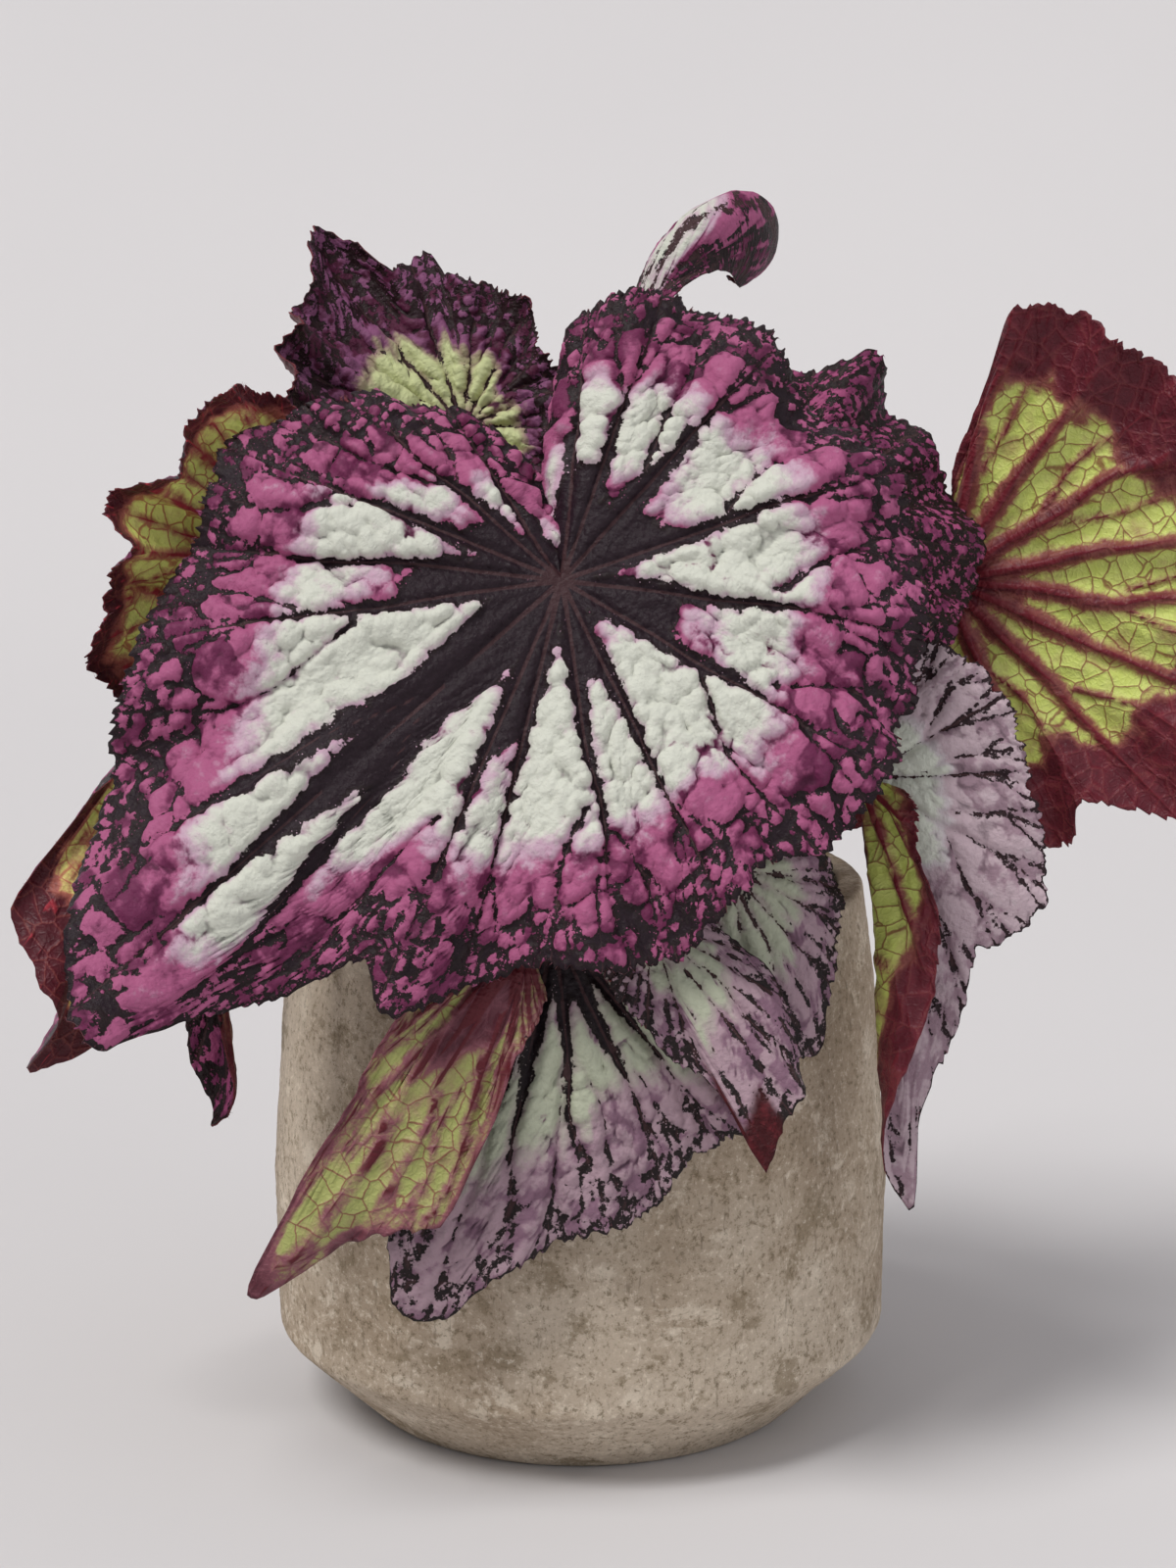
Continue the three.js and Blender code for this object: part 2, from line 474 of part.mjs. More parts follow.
// a stalk: a tube that narrows from the rhizome to the blade and ends just clear of it
function makeStalk(leaf) {
  const { normal } = leafAxes(leaf);
  const side = leaf.stalkOnUpperSide ? 1 : -1;
  const end = vector(leaf.base).addScaledVector(normal, side * STALK_CLEARANCE);
  const waypoints = [vector(STALK_START), ...leaf.stalk.map(vector), end];
  const route = new THREE.CatmullRomCurve3(waypoints, false, 'centripetal');
  const section = new THREE.Shape();
  for (let k = 0; k < STALK_SIDES; k += 1) {
    const angle = (2 * Math.PI * k) / STALK_SIDES;
    const x = STALK_FOOT_RADIUS * Math.cos(angle);
    const y = STALK_FOOT_RADIUS * Math.sin(angle);
    if (k === 0) section.moveTo(x, y);
    else section.lineTo(x, y);
  }
  section.closePath();
  const sweep = { steps: STALK_STEPS, extrudePath: route, curveSegments: 1 };
  const geometry = new THREE.ExtrudeGeometry(section, sweep);
  const position = geometry.attributes.position;
  const centres = route.getSpacedPoints(STALK_STEPS);
  for (let i = 0; i < position.count; i += 1) {
    const point = new THREE.Vector3().fromBufferAttribute(position, i);
    let nearest = 0;
    centres.forEach((centre, k) => {
      if (centre.distanceTo(point) < centres[nearest].distanceTo(point)) nearest = k;
    });
    const scale = THREE.MathUtils.lerp(1, STALK_TIP_RADIUS / STALK_FOOT_RADIUS, nearest / STALK_STEPS);
    point.sub(centres[nearest]).multiplyScalar(scale).add(centres[nearest]);
    position.setXYZ(i, point.x, point.y, point.z);
  }
  return geometry;
}

function makeStems() {
  let solid = solidOf(makeRhizome());
  for (const leaf of LEAVES) solid = solid.add(solidOf(makeStalk(leaf)));
  return geometryOf(solid);
}

// ---- assembly -----------------------------------------------------------------------------------

const group = new THREE.Group();

function add(name, geometry, material) {
  const mesh = new THREE.Mesh(geometry, material);
  mesh.name = name;
  group.add(mesh);
}

add('pot', makePot(), stone);
add('nursery_pot', makeNurseryPot(), greyPlastic);
add('soil', makeSoil(), soilMix);
add('stems', makeStems(), redStalk);
for (const leaf of LEAVES) add(leaf.name, makeBlade(leaf), leafMaterials[leaf.name] ?? plumLeaf);

export default group;
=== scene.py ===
"""Potted rex begonia: painted leaf blades, hairy stalks, soil, nursery pot and stone pot."""
import math

import bpy
import numpy as np
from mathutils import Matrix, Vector


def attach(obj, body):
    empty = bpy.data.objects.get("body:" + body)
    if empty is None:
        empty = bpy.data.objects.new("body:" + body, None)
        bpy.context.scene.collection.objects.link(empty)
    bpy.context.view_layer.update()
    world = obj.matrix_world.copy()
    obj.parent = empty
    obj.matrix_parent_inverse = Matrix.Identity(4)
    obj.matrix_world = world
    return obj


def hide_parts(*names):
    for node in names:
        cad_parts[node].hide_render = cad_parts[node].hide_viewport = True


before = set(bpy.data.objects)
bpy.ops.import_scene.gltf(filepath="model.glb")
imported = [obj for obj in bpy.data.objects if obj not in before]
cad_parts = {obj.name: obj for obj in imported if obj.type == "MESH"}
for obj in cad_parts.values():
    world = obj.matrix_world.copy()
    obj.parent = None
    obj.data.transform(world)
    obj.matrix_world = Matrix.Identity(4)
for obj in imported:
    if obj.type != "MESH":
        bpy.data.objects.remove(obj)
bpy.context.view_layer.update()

MM = 0.001
BODY = "root"

# ---- sizes, in millimetres, as in the solids ------------------------------------------------------------

FOOT_RADIUS = 55
CHAMFER_TOP = 21
CHAMFER_RADIUS = 77
BELLY_RADIUS, BELLY_HEIGHT = 77.5, 60
SHOULDER_RADIUS, SHOULDER_HEIGHT = 74.5, 105
RIM_RADIUS, RIM_HEIGHT = 70.5, 134.5
POT_WALL = 6
POT_FLOOR = 8
GAP = 0.3
NURSERY_RIM_RADIUS, NURSERY_RIM_TOP = 62, 137
NURSERY_LIP_DROP, NURSERY_LIP_WIDTH = 5, 3.5
NURSERY_FOOT_RADIUS = 48
NURSERY_WALL = 1.2
SOIL_TOP = 122
ROOT_RADIUS = 8
ROOT_DEPTH = 15
CROWN_RADIUS, CROWN_HEIGHT = 15, 13
STALK_FOOT_RADIUS, STALK_TIP_RADIUS = 2.6, 1.5
STALK_START = (0, 0, 127)
CURL_FROM = 0.62  # share of the ray at which the margin's own curl starts
RAY_STEPS = 40  # steps in which a ray's bend is added up
SPAN_STEPS = 14  # points on each span of a stalk
STALK_SIDES = 12
HAIR_WIDTH = 0.07
HAIR_SPACING = 1.1  # along a leaf's margin
STALK_HAIRS = 7  # for each point of a stalk's route
BLADE_THICKNESS, MARGIN_THINNING, MAIN_VEIN_RIDGE = 0.62, 0.3, 0.9
POT_SEGMENTS, NURSERY_SEGMENTS, SOIL_SEGMENTS, CROWN_SEGMENTS = 420, 160, 200, 72
PIT_SPACING = 5
CRUMB_SIZE = 2.6

# seeds of the random draws; each leaf adds its number in the list
LEAF_SEED, MARGIN_SEED, STALK_SEED, SOIL_SEED = 101, 301, 501, 5

# ---- leaves ---------------------------------------------------------------------------------------------
# A leaf is a fan of rays that start where the stalk meets the blade. Angles are degrees from the leaf's tip,
# and shares go from 0 at the stalk to 1 at the margin. These six are those of the solids:
#   base     where the stalk meets the blade
#   face     azimuth and elevation of the way that the upper side faces
#   turn     direction of the tip within the blade's plane
#   wave     degrees by which the margin waves, and degrees from one wave to the next
#   stalk    points of the stalk's route
#   rays     (angle, length, fold about the midrib, rise at the stalk, bend, curl at the margin); values that
#            are left out at the end are 0
# The others shape the fine blade and its pattern:
#   spacing  distance between the blade's points
#   lift     height of the puckers
#   paint, under  names of the colours in PAINTS and UNDERS
#   zones    shares where the pale patches start, turn pink and have broken up
#   fingers  (from angle, to angle, and the same three shares), where the patches differ
#   veins    (angle, share where it leaves a main vein, band width against the usual one)
#   vein_gap degrees between the main veins, where they aren't listed
#   wander   degrees by which the veins stray
#   band     half width of the dark bands along the main veins, at the stalk and at the margin
#   islands  sizes of the coarse and the fine islands into which the patches break up
#   grain    size of puckers and islands against the usual one
#   fill     how far the islands close up
#   crease   dark gap between islands, inside and at the margin; below 0 they run together
#   rim      width of the dark rim
#   window   shares between which the underside is lime green
#   halo     width of the red bands beside the underside's veins, against the usual one
#   crenate  size of the margin's lobes against the usual one
#   curl_from  share at which the curl starts
#   lap      degrees by which the blade's end reaches on, under its beginning
#   stain    (from angle, to angle, from share) where the blade is dark red
#   stalk_above  the stalk meets the upper side

LEAVES = [
    dict(
        name="leaf_front", base=(-4, -62, 219), face=(0, 22), turn=-136, wave=(5, 27), spacing=0.85,
        lift=2.2, wander=1.1, crease=(0.0, 0.95), islands=(9.4, 4.0), fill=0.0, lap=8,
        stalk=[(-1, -14, 152), (-2, -38, 195), (-4, -50, 214)], paint="plum", window=(0.25, 0.6),
        rays=[
            (-230, 39, 0, -16), (-220, 64, 0, 4, 10, 10), (-205, 73, 0, 10, 20, 20),
            (-185, 78, 0, 10, 20, 25), (-177, 73, 0, 8, 20, 20), (-165, 77, 0, 8, 20, 20),
            (-150, 84, 0, 10, 22, 20), (-130, 84, 0, 10, 22, 25), (-110, 86, 0, 8, 18, 15),
            (-93, 88, 0, 8, 14, 10), (-79, 81, 0, 8, 12, 5), (-66, 87, 0, 8, 12, 5), (-54, 91, 0, 8, 12, 5),
            (-42, 89, 0, 8, 12, 5), (-31, 95, 0, 8, 14, 5), (-22, 107, 0, 8, 16, 10),
            (-17, 99, 0, 8, 16, 10), (-11, 113, 0, 6, 14), (-4, 132, 0, 6, 12, -20),
            (0, 152, 0, 6, 12, -40), (5, 145, 0, 6, 14, -20), (11, 134, 0, 8, 16), (22, 115, 0, 8, 18, 10),
            (30, 107, 0, 9, 19, 10), (39, 97, 0, 10, 20, 10), (54, 86, 0, 10, 20, 15),
            (68, 85, 0, 10, 20, 15), (77, 77, 0, 10, 20, 20), (95, 61, 0, 8, 20, 20),
            (105, 49, 0, 2, 10, 10), (120, 33, 0, -14), (127, 27, 0, -16),
        ],
        veins=[
            (3, 0, 3.2), (37, 0, 1), (51, 0, 1), (68, 0, 1), (87, 0, 1), (104, 0, 1), (-4, 0.3, 1.6),
            (-21.5, 0, 1), (-31, 0, 1), (-53, 0, 1), (-69, 0, 1), (-102, 0, 1.1), (-126, 0, 1),
            (-153, 0, 1.1), (-182, 0, 1.6), (-204, 0, 1), (-219, 0, 1), (12, 0.3, 1.6), (24, 0.45, 0.5),
            (-12, 0.62, 0.5), (-43, 0.6, 0.6), (-61, 0.66, 0.5), (-87, 0.45, 0.7), (-113, 0.62, 0.6),
            (-139, 0.58, 0.7), (-163, 0.5, 0.7), (-192, 0.4, 0.7), (-211, 0.6, 0.5), (60, 0.6, 0.5),
            (44, 0.62, 0.5), (78, 0.5, 0.6), (95, 0.5, 0.6),
        ],
        fingers=[
            (-230, -219, 0.4, 0.55, 0.84), (-219, -204, 0.4, 0.68, 0.84),
            (-204, -182, 0.28, 0.68, 0.86), (-182, -153, 0.34, 0.72, 0.88),
            (-153, -126, 0.1, 0.7, 0.86), (-126, -102, 0.34, 0.66, 0.85),
            (-102, -69, 0.12, 0.69, 0.86), (-69, -53, 0.29, 0.68, 0.87),
            (-53, -31, 0.06, 0.71, 0.88), (-31, -21.5, 0.42, 0.68, 0.82),
            (-21.5, -4, 0.22, 0.68, 0.84), (-4, 3, 0.34, 0.8, 0.97), (3, 12, 0.4, 0.74, 0.9),
            (12, 37, 0.17, 0.67, 0.84), (37, 51, 0.4, 0.69, 0.83), (51, 68, 0.24, 0.7, 0.86),
            (68, 87, 0.32, 0.55, 0.8), (87, 104, 0.25, 0.48, 0.8), (104, 120, 0.3, 0.42, 0.75),
        ],
    ),
    dict(
        name="leaf_cup", base=(-29, 10, 246), face=(0, 30), turn=-100, wave=(7, 24), spacing=0.9, lift=2.2,
        stalk=[(-8, 5, 155), (-23, 19, 205), (-29, 20, 239)], paint="cream", window=(0.2, 0.72),
        vein_gap=22, zones=(0.06, 0.5, 0.66), band=(0.7, 0.3), fill=0.1, grain=0.7, crease=(0.4, 0.8),
        rim=0.6,
        rays=[
            (-100, 30, 0, 10, -20), (-60, 34, 0, 10, -30), (-20, 45, 0, 14, -34, -30),
            (5, 58, 0, 16, -40, -50), (25, 57, 0, 14, -42, -50), (45, 51, 0, 5, -20, -30),
            (63, 64, 0, 5, 0, -60), (70, 55, 0, 5, 0, -40), (76, 43, 0, 5, 0, -20), (83, 45, 0, 5, 0, 10),
            (89, 48, 0, 5, 0, 10), (94, 40, 0, 5, 0, 5), (115, 37, 0, 5, 0, -20), (126, 36, 0, 5, 0, -50),
            (135, 31, 0, 7, 0, -40), (153, 27, 0, 10, 0, -20), (185, 33, 0, 8), (205, 34, 0, 4),
            (226, 30, 0, 4),
        ],
    ),
    dict(
        name="leaf_left", base=(-61, -16, 213), face=(-155, 8), turn=148, wave=(7, 22), spacing=1.2,
        lift=1.3, stalk=[(-12, -6, 152), (-38, -22, 190), (-56, -26, 210)], paint="plum",
        # its underside takes the lit colours, which hold painted light shining through the leaf
        window=(0.12, 0.86), vein_gap=15, under="lit", halo=0.3, zones=(0.3, 0.5, 0.62), crenate=1.8,
        rays=[
            (-150, 26), (-130, 46, 0, 0, 0, 20), (-112, 63, 0, 0, 8, 60), (-106, 58, 0, 0, 10, 60),
            (-99, 59, 0, 0, 10, 60), (-93, 61, 0, 0, 10, 60), (-86, 64, 0, 0, 10, 40),
            (-78, 65, 0, 0, 10, 30), (-73, 61, 0, 0, 10, 60), (-66, 61, 0, 0, 10, 50),
            (-58, 60, 0, 0, 10, 60), (-47, 67, 0, 0, 10, 20), (-38, 61, 0, 0, 10, 60),
            (-26, 69, 0, 0, 10, 60), (-17, 82, 0, 0, 10, 20), (-13, 110, 0, 0, 8), (-8, 119, 0, 0, 8),
            (-4, 127, 0, 0, 8, 10), (0, 143, 0, 0, 6, -20), (4, 132, 0, 0, 8), (10, 108, 0, 0, 8),
            (30, 74, 0, 0, 10, 20), (60, 54, 0, 0, 10, 20), (95, 40),
        ],
    ),
    dict(
        name="leaf_roll", base=(-85, -60, 126), face=(-40, 0), turn=166, wave=(0, 30), spacing=0.7,
        lift=0.5, stalk=[(-14, -10, 140), (-46, -32, 152), (-69, -48, 146), (-79, -56, 133)], paint="night",
        window=(0.1, 0.6), vein_gap=30, zones=(0.2, 0.4, 0.6),
        rays=[
            (-95, 7, 50), (-45, 13, 50), (-20, 26, 50), (0, 37, 0, 0, -20, -60), (20, 26, 50), (45, 13, 50),
            (95, 7, 50),
        ],
    ),
    dict(
        name="leaf_hook", base=(15, 14, 272), face=(-51, 14), turn=12, wave=(0, 30), spacing=0.8, lift=0.9,
        stalk=[(4, 4, 170), (15, 18, 236), (22, 20, 266)], paint="plum", window=(0.1, 0.3), vein_gap=7,
        curl_from=0, zones=(0.0, 0.46, 0.74), band=(0.4, 0.3), grain=0.6, crease=(0.15, 0.5), rim=0.4,
        fill=0.15,
        rays=[
            (-100, 6, 0, 0, 0, 20), (-50, 10, 0, 0, 0, 30), (-22, 40, 0, 0, 0, 120),
            (-10, 64, 0, 0, 0, 215), (0, 86, 0, 0, 0, 290), (6, 70, 0, 0, 0, 245), (11, 50, 0, 0, 0, 200),
            (17, 28, 0, 0, 0, 120), (40, 11, 0, 0, 0, 30), (100, 6, 0, 0, 0, 20),
        ],
    ),
    dict(
        name="leaf_back_right", base=(42, -24, 223), face=(22, 28), turn=60, wave=(6, 26), spacing=0.75,
        lift=1.1, stalk=[(8, -4, 155), (28, -10, 195), (38, -14, 216)], paint="night", window=(0.3, 0.5),
        vein_gap=18, fill=-0.02, zones=(0.15, 0.25, 0.4), grain=0.8, crease=(0.5, 1.0), rim=0.4,
        rays=[
            (-120, 26), (-75, 41, 0, 6, 20, 10), (-45, 52, 0, 6, 20, 20), (-30, 50, 0, 6, 16),
            (-17, 60, 0, 6, 16, -20), (0, 57, 0, 6, 18, 10), (18, 59, 0, 6, 18, 10), (33, 61, 0, 6, 18, 10),
            (48, 59, 0, 6, 18, 10), (61, 55, 0, 6, 18, 10), (79, 54, 0, 6, 18, 10), (95, 57, 0, 6, 18, 10),
            (125, 44, 0, 4, 16, 10), (160, 28),
        ],
    ),
    dict(
        name="leaf_far_right", base=(91, 12, 208), face=(170, 0), turn=-95, wave=(4, 22), spacing=1.2,
        lift=1.0, stalk=[(16, 2, 148), (52, -2, 180), (81, -2, 201), (89.5, 4, 207)], paint="plum",
        window=(0.16, 0.7), vein_gap=22, zones=(0.15, 0.6, 0.78), crenate=0.7,
        rays=[
            (-98, 14), (-76, 41, 0, 0, 0, 10), (-66, 68, 0, 0, 10, 10), (-58, 73, 0, 0, 10, 10),
            (-51, 66, 0, 0, 10, 10), (-44, 72, 0, 0, 10, 10), (-38, 84, 0, 0, 10, 10),
            (-22, 86, 0, 0, 10, 10), (0, 94, 0, 0, 10, -20), (22, 86, 0, 0, 10, 10), (50, 76, 0, 0, 10, 20),
            (71, 74, 0, 0, 10, 20), (81, 72, 0, 0, 10, 10), (85, 46), (92, 26),
        ],
    ),
    dict(
        name="leaf_fold", base=(66, -50, 171), face=(-12, 4), turn=172, wave=(0, 20), spacing=1.1, lift=1.0,
        stalk=[(14, -12, 142), (44, -28, 164), (64, -39, 171)], paint="silver", window=(0.04, 0.74),
        vein_gap=30, zones=(0.0, 0.5, 0.95), band=(0.3, 0.0), fill=0.5, grain=0.7, crease=(-0.8, -0.5),
        rim=0.3, halo=0.3, crenate=1.4,
        rays=[
            (-155, 34), (-135, 37), (-121, 38), (-100, 38, 0, 0, 6), (-81, 40, 0, 0, 6),
            (-60, 47, 0, 0, 6, 10), (-45, 51, 0, 0, 6), (-28, 50, 0, 0, 6), (-19, 58, 0, 0, 6),
            (-9, 71, 0, 0, 4), (-3, 82), (0, 104), (5, 84, 70), (10, 68, 115), (18, 53, 140), (32, 36, 145),
            (43, 22, 145), (75, 14, 145),
        ],
    ),
    dict(
        name="leaf_low", base=(-6, -80, 143), face=(-3, 10), turn=-160, wave=(2, 17), spacing=1.0, lift=2.0,
        stalk=[(-1, -24, 142), (-4, -52, 148), (-6, -69, 142)], paint="sage", window=(0.2, 0.6),
        # its dark base, late pale patches and wide dark bands at the stalk, is partly the leaf's own pattern
        # and partly painted shadow of leaf_front above it
        vein_gap=16, zones=(0.22, 0.66, 0.95), band=(2.4, 0.2), fill=0.26, grain=0.75, crease=(-0.4, 0.1),
        rim=0.5, crenate=1.3,
        rays=[
            (-115, 14), (-95, 32, 0, 0, 10, 10), (-74, 63, 0, 0, 10, 10), (-66, 67, 0, 0, 10, 10),
            (-52, 64, 0, 0, 10, 10), (-36, 71, 0, 0, 10), (-20, 75, 0, 0, 8), (-9, 87, 0, 0, 6),
            (-5, 96, 0, 0, 6), (1, 99, 0, 0, 6), (5, 90, 0, 0, 6), (12, 66, 0, 0, 6), (30, 40, 0, 0, 6),
            (58, 15, 0, 0, 6),
        ],
    ),
    dict(
        name="leaf_low_left", base=(-12, -86, 140), face=(180, -8), turn=142, wave=(0, 20), spacing=0.9,
        lift=0.8, stalk=[(-6, -24, 144), (-10, -54, 154), (-11, -77, 150)], paint="sage",
        window=(0.36, 0.95), halo=0.3, vein_gap=11, under="mauve", zones=(0.2, 0.5, 0.8), stalk_above=True,
        rays=[
            (-70, 10), (-34, 24, 0, 0, 0, 40), (-12, 50, 0, 0, 0, 20), (-4, 80), (0, 104),
            (7, 83, 0, 0, 0, -30), (14, 73), (21, 68), (26, 48, 0, 0, 0, 60), (32, 26, 0, 0, 0, 60),
            (60, 12),
        ],
    ),
    dict(
        name="leaf_curl", base=(16, -84, 144), face=(10, 28), turn=135, wave=(0, 20), spacing=0.8, lift=0.9,
        stalk=[(4, -24, 146), (8, -54, 153), (11, -75, 149)], paint="sage", stain=(14, 28, 0.8),
        window=(0.3, 0.9), vein_gap=18, zones=(0.05, 0.5, 0.95), band=(0.35, 0.1), fill=0.3, grain=0.6,
        crease=(-0.3, 0.1), rim=0.3,
        rays=[
            (-62, 12, -10), (-43, 16, -14), (-30, 25, -16), (-21, 32, -16, 0, 0, 10),
            (-13, 38, -14, 0, 0, 20), (-6, 42, -8, 0, 0, 30), (2, 50, 0, 0, 8, 20), (7, 53, -10),
            (14, 54, -14), (21, 60, -14), (24, 62, -14), (26, 44, -20), (30, 37, -24), (40, 31, -24),
            (54, 22, -20), (80, 17, -16), (110, 12, -10),
        ],
    ),
    dict(
        name="leaf_low_right", base=(34, -71, 154), face=(12, 14), turn=156, wave=(4, 26), spacing=0.8,
        lift=0.9, stalk=[(9, -20, 144), (23, -46, 155), (31, -61, 152)], paint="sage", window=(0.3, 0.6),
        vein_gap=20, zones=(0.05, 0.6, 0.9), band=(0.4, 0.15), fill=0.25, grain=0.65, crease=(-0.2, 0.2),
        rim=0.5,
        rays=[
            (-120, 14), (-93, 20, 0, 0, 10, 10), (-66, 26, 0, 0, 10, 10), (-38, 31, 0, 0, 10, 10),
            (-17, 37, 0, 0, 10), (0, 49, 0, 0, 10), (20, 36, 0, 0, 10), (60, 18, 0, 0, 10), (95, 10),
        ],
    ),
    dict(
        name="leaf_rear_left", base=(-36, 50, 197), face=(-148, 40), turn=145, wave=(6, 27), spacing=1.3,
        lift=1.4, stalk=[(-8, 12, 145), (-23, 32, 175), (-31, 43, 190)], paint="plum", window=(0.2, 0.66),
        vein_gap=20, zones=(0.2, 0.62, 0.83),
        rays=[
            (-150, 28), (-120, 42, 0, 6, 20, 10), (-80, 54, 0, 6, 24, 10), (-40, 66, 0, 6, 24, 10),
            (0, 88, 0, 6, 24, 10), (40, 66, 0, 6, 24, 10), (80, 58, 0, 6, 24, 10), (120, 44, 0, 6, 20, 10),
            (150, 28),
        ],
    ),
    dict(
        name="leaf_rear_right", base=(40, 50, 190), face=(146, 34), turn=-140, wave=(6, 27), spacing=1.3,
        lift=1.4, stalk=[(8, 13, 142), (25, 32, 170), (35, 43, 183)], paint="plum", window=(0.2, 0.66),
        vein_gap=20, zones=(0.2, 0.62, 0.83),
        rays=[
            (-150, 36), (-120, 48, 0, 6, 20, 10), (-80, 54, 0, 6, 24, 10), (-40, 60, 0, 6, 24, 10),
            (0, 80, 0, 6, 24, 10), (40, 60, 0, 6, 24, 10), (80, 54, 0, 6, 24, 10), (120, 46, 0, 6, 20, 10),
            (150, 34),
        ],
    ),
]

# upper side's colours: dark ground, pale patch, its blush, pink, deep pink
PAINTS = {
    "plum": ("#1b0e16", "#cfd1c5", "#c2a1b4", "#a7587f", "#6b294d"),
    "cream": ("#1f0b14", "#c6cc98", "#a6957f", "#834e72", "#4f1b36"),
    "silver": ("#22111a", "#d3d7ca", "#c9bfc3", "#bba6ae", "#9a808c"),
    "sage": ("#180f14", "#aeb29d", "#aa9d9a", "#a68c96", "#826274"),
    "night": ("#14060c", "#a54e77", "#9c466f", "#a04c76", "#722e54"),
}

# underside's colours: deep maroon, maroon, lime, pale lime, blotches in the lime, veins, net
UNDERS = {
    "red": ("#42101b", "#7f2b39", "#b8c656", "#dae28a", "#8c5048", "#6c1c28", "#7f4034"),
    # lit: paler, brighter copies of the red colours, painted light shining through the leaf
    "lit": ("#3a0c17", "#6c212e", "#edf67c", "#fbffa0", "#b86a5c", "#a02c3a", "#b85244"),
    "mauve": ("#4a1c26", "#7a4652", "#8b9250", "#b5b674", "#86505a", "#571721", "#7c403c"),
}


# ---- small helpers --------------------------------------------------------------------------------------

def linear(code):
    """A #rrggbb colour as linear RGBA."""
    parts = [int(code[i:i + 2], 16) / 255 for i in (1, 3, 5)]
    return tuple(c / 12.92 if c <= 0.04045 else ((c + 0.055) / 1.055) ** 2.4 for c in parts) + (1.0,)


def step(value, low, high):
    """0 below low, 1 above high, smooth between; low may be above high."""
    t = np.clip((value - low) / (high - low), 0, 1)
    return t * t * (3 - 2 * t)


def lattice_random(ix, iy, seed):
    """One random number from 0 to 1 for each whole-number point."""
    h = (ix.astype(np.int64) * 374761393 + iy.astype(np.int64) * 668265263 + seed * 2246822519) & 0xFFFFFFFF
    h = ((h ^ (h >> 13)) * 1274126177) & 0xFFFFFFFF
    h = ((h ^ (h >> 15)) * 2246822519) & 0xFFFFFFFF
    return (h ^ (h >> 16)) / 4294967296.0


def smooth_noise(x, y, seed):
    """Value noise from -1 to 1 with features about one unit wide."""
    x, y = np.broadcast_arrays(np.asarray(x, float), np.asarray(y, float))
    ix, iy = np.floor(x), np.floor(y)
    fx, fy = x - ix, y - iy
    fx, fy = fx * fx * (3 - 2 * fx), fy * fy * (3 - 2 * fy)
    corners = [lattice_random(ix + i, iy + j, seed) for i in (0, 1) for j in (0, 1)]
    low = corners[0] * (1 - fx) + corners[2] * fx
    high = corners[1] * (1 - fx) + corners[3] * fx
    return (low * (1 - fy) + high * fy) * 2 - 1


def layered_noise(x, y, seed, layers=3):
    total = 0
    for k in range(layers):
        total = total + smooth_noise(x * 2 ** k, y * 2 ** k, seed + k) / 2 ** k
    return total / (2 - 2 ** (1 - layers))


def cells(x, y, seed):
    """Distance to the nearest scattered point, to the border of its cell, and the point's random number."""
    ix, iy = np.floor(x), np.floor(y)
    nearest, second, number = np.full(x.shape, 9.0), np.full(x.shape, 9.0), np.zeros(x.shape)
    for i in (-1, 0, 1):
        for j in (-1, 0, 1):
            cx, cy = ix + i, iy + j
            px = cx + 0.15 + 0.7 * lattice_random(cx, cy, seed)
            py = cy + 0.15 + 0.7 * lattice_random(cx, cy, seed + 51)
            d = np.hypot(px - x, py - y)
            closer = d < nearest
            number = np.where(closer, lattice_random(cx, cy, seed + 97), number)
            second = np.where(closer, nearest, np.minimum(second, d))
            nearest = np.where(closer, d, nearest)
    return nearest, (second - nearest) / 2, number


def domes(x, y, seed):
    """Rounded bumps, one unit wide and packed side by side, from 0 to 1."""
    near, _, _ = cells(x, y, seed)
    return np.sqrt(np.clip(1 - (near / 0.66) ** 2, 0, 1))


def smooth_curve(xs, ys, x):
    """Value at x of the smooth curve through the points (xs, ys) that never overshoots them."""
    slopes = np.diff(ys) / np.diff(xs)
    product = slopes[:-1] * slopes[1:]
    total = slopes[:-1] + slopes[1:]
    middle = np.where(product > 0, 2 * product / np.where(total == 0, 1, total), 0)
    tangents = np.concatenate([slopes[:1], middle, slopes[-1:]])
    k = np.clip(np.searchsorted(xs, x, side="right") - 1, 0, len(xs) - 2)
    width = xs[k + 1] - xs[k]
    t = (x - xs[k]) / width
    rest = 1 - t
    return (rest * rest * (1 + 2 * t) * ys[k] + t * rest * rest * width * tangents[k]
            + t * t * (3 - 2 * t) * ys[k + 1] - t * t * rest * width * tangents[k + 1])


def vertex_normals(points, triangles):
    a, b, c = (points[triangles[:, k]] for k in range(3))
    face = np.cross(b - a, c - a)
    total = np.zeros_like(points)
    for k in range(3):
        np.add.at(total, triangles[:, k], face)
    return total / np.maximum(np.linalg.norm(total, axis=1, keepdims=True), 1e-12)


def make_mesh(name, points, triangles, materials, slots=None, smooth=True):
    """A mesh object from points in millimetres."""
    mesh = bpy.data.meshes.new(name)
    mesh.vertices.add(len(points))
    mesh.vertices.foreach_set("co", (np.asarray(points, float) * MM).astype(np.float32).ravel())
    triangles = np.asarray(triangles, np.int32)
    mesh.loops.add(triangles.size)
    mesh.loops.foreach_set("vertex_index", triangles.ravel())
    mesh.polygons.add(len(triangles))
    mesh.polygons.foreach_set("loop_start", np.arange(0, triangles.size, 3, dtype=np.int32))
    if slots is not None:
        mesh.polygons.foreach_set("material_index", np.asarray(slots, np.int32))
    mesh.polygons.foreach_set("use_smooth", np.full(len(triangles), smooth))
    for material in materials:
        mesh.materials.append(material)
    mesh.update(calc_edges=True)
    mesh.validate()
    piece = bpy.data.objects.new(name, mesh)
    bpy.context.scene.collection.objects.link(piece)
    return piece


def set_attribute(piece, name, values, vector=False):
    attribute = piece.data.attributes.new(name, "FLOAT_VECTOR" if vector else "FLOAT", "POINT")
    attribute.data.foreach_set("vector" if vector else "value", np.asarray(values, np.float32).ravel())


# ---- materials ------------------------------------------------------------------------------------------

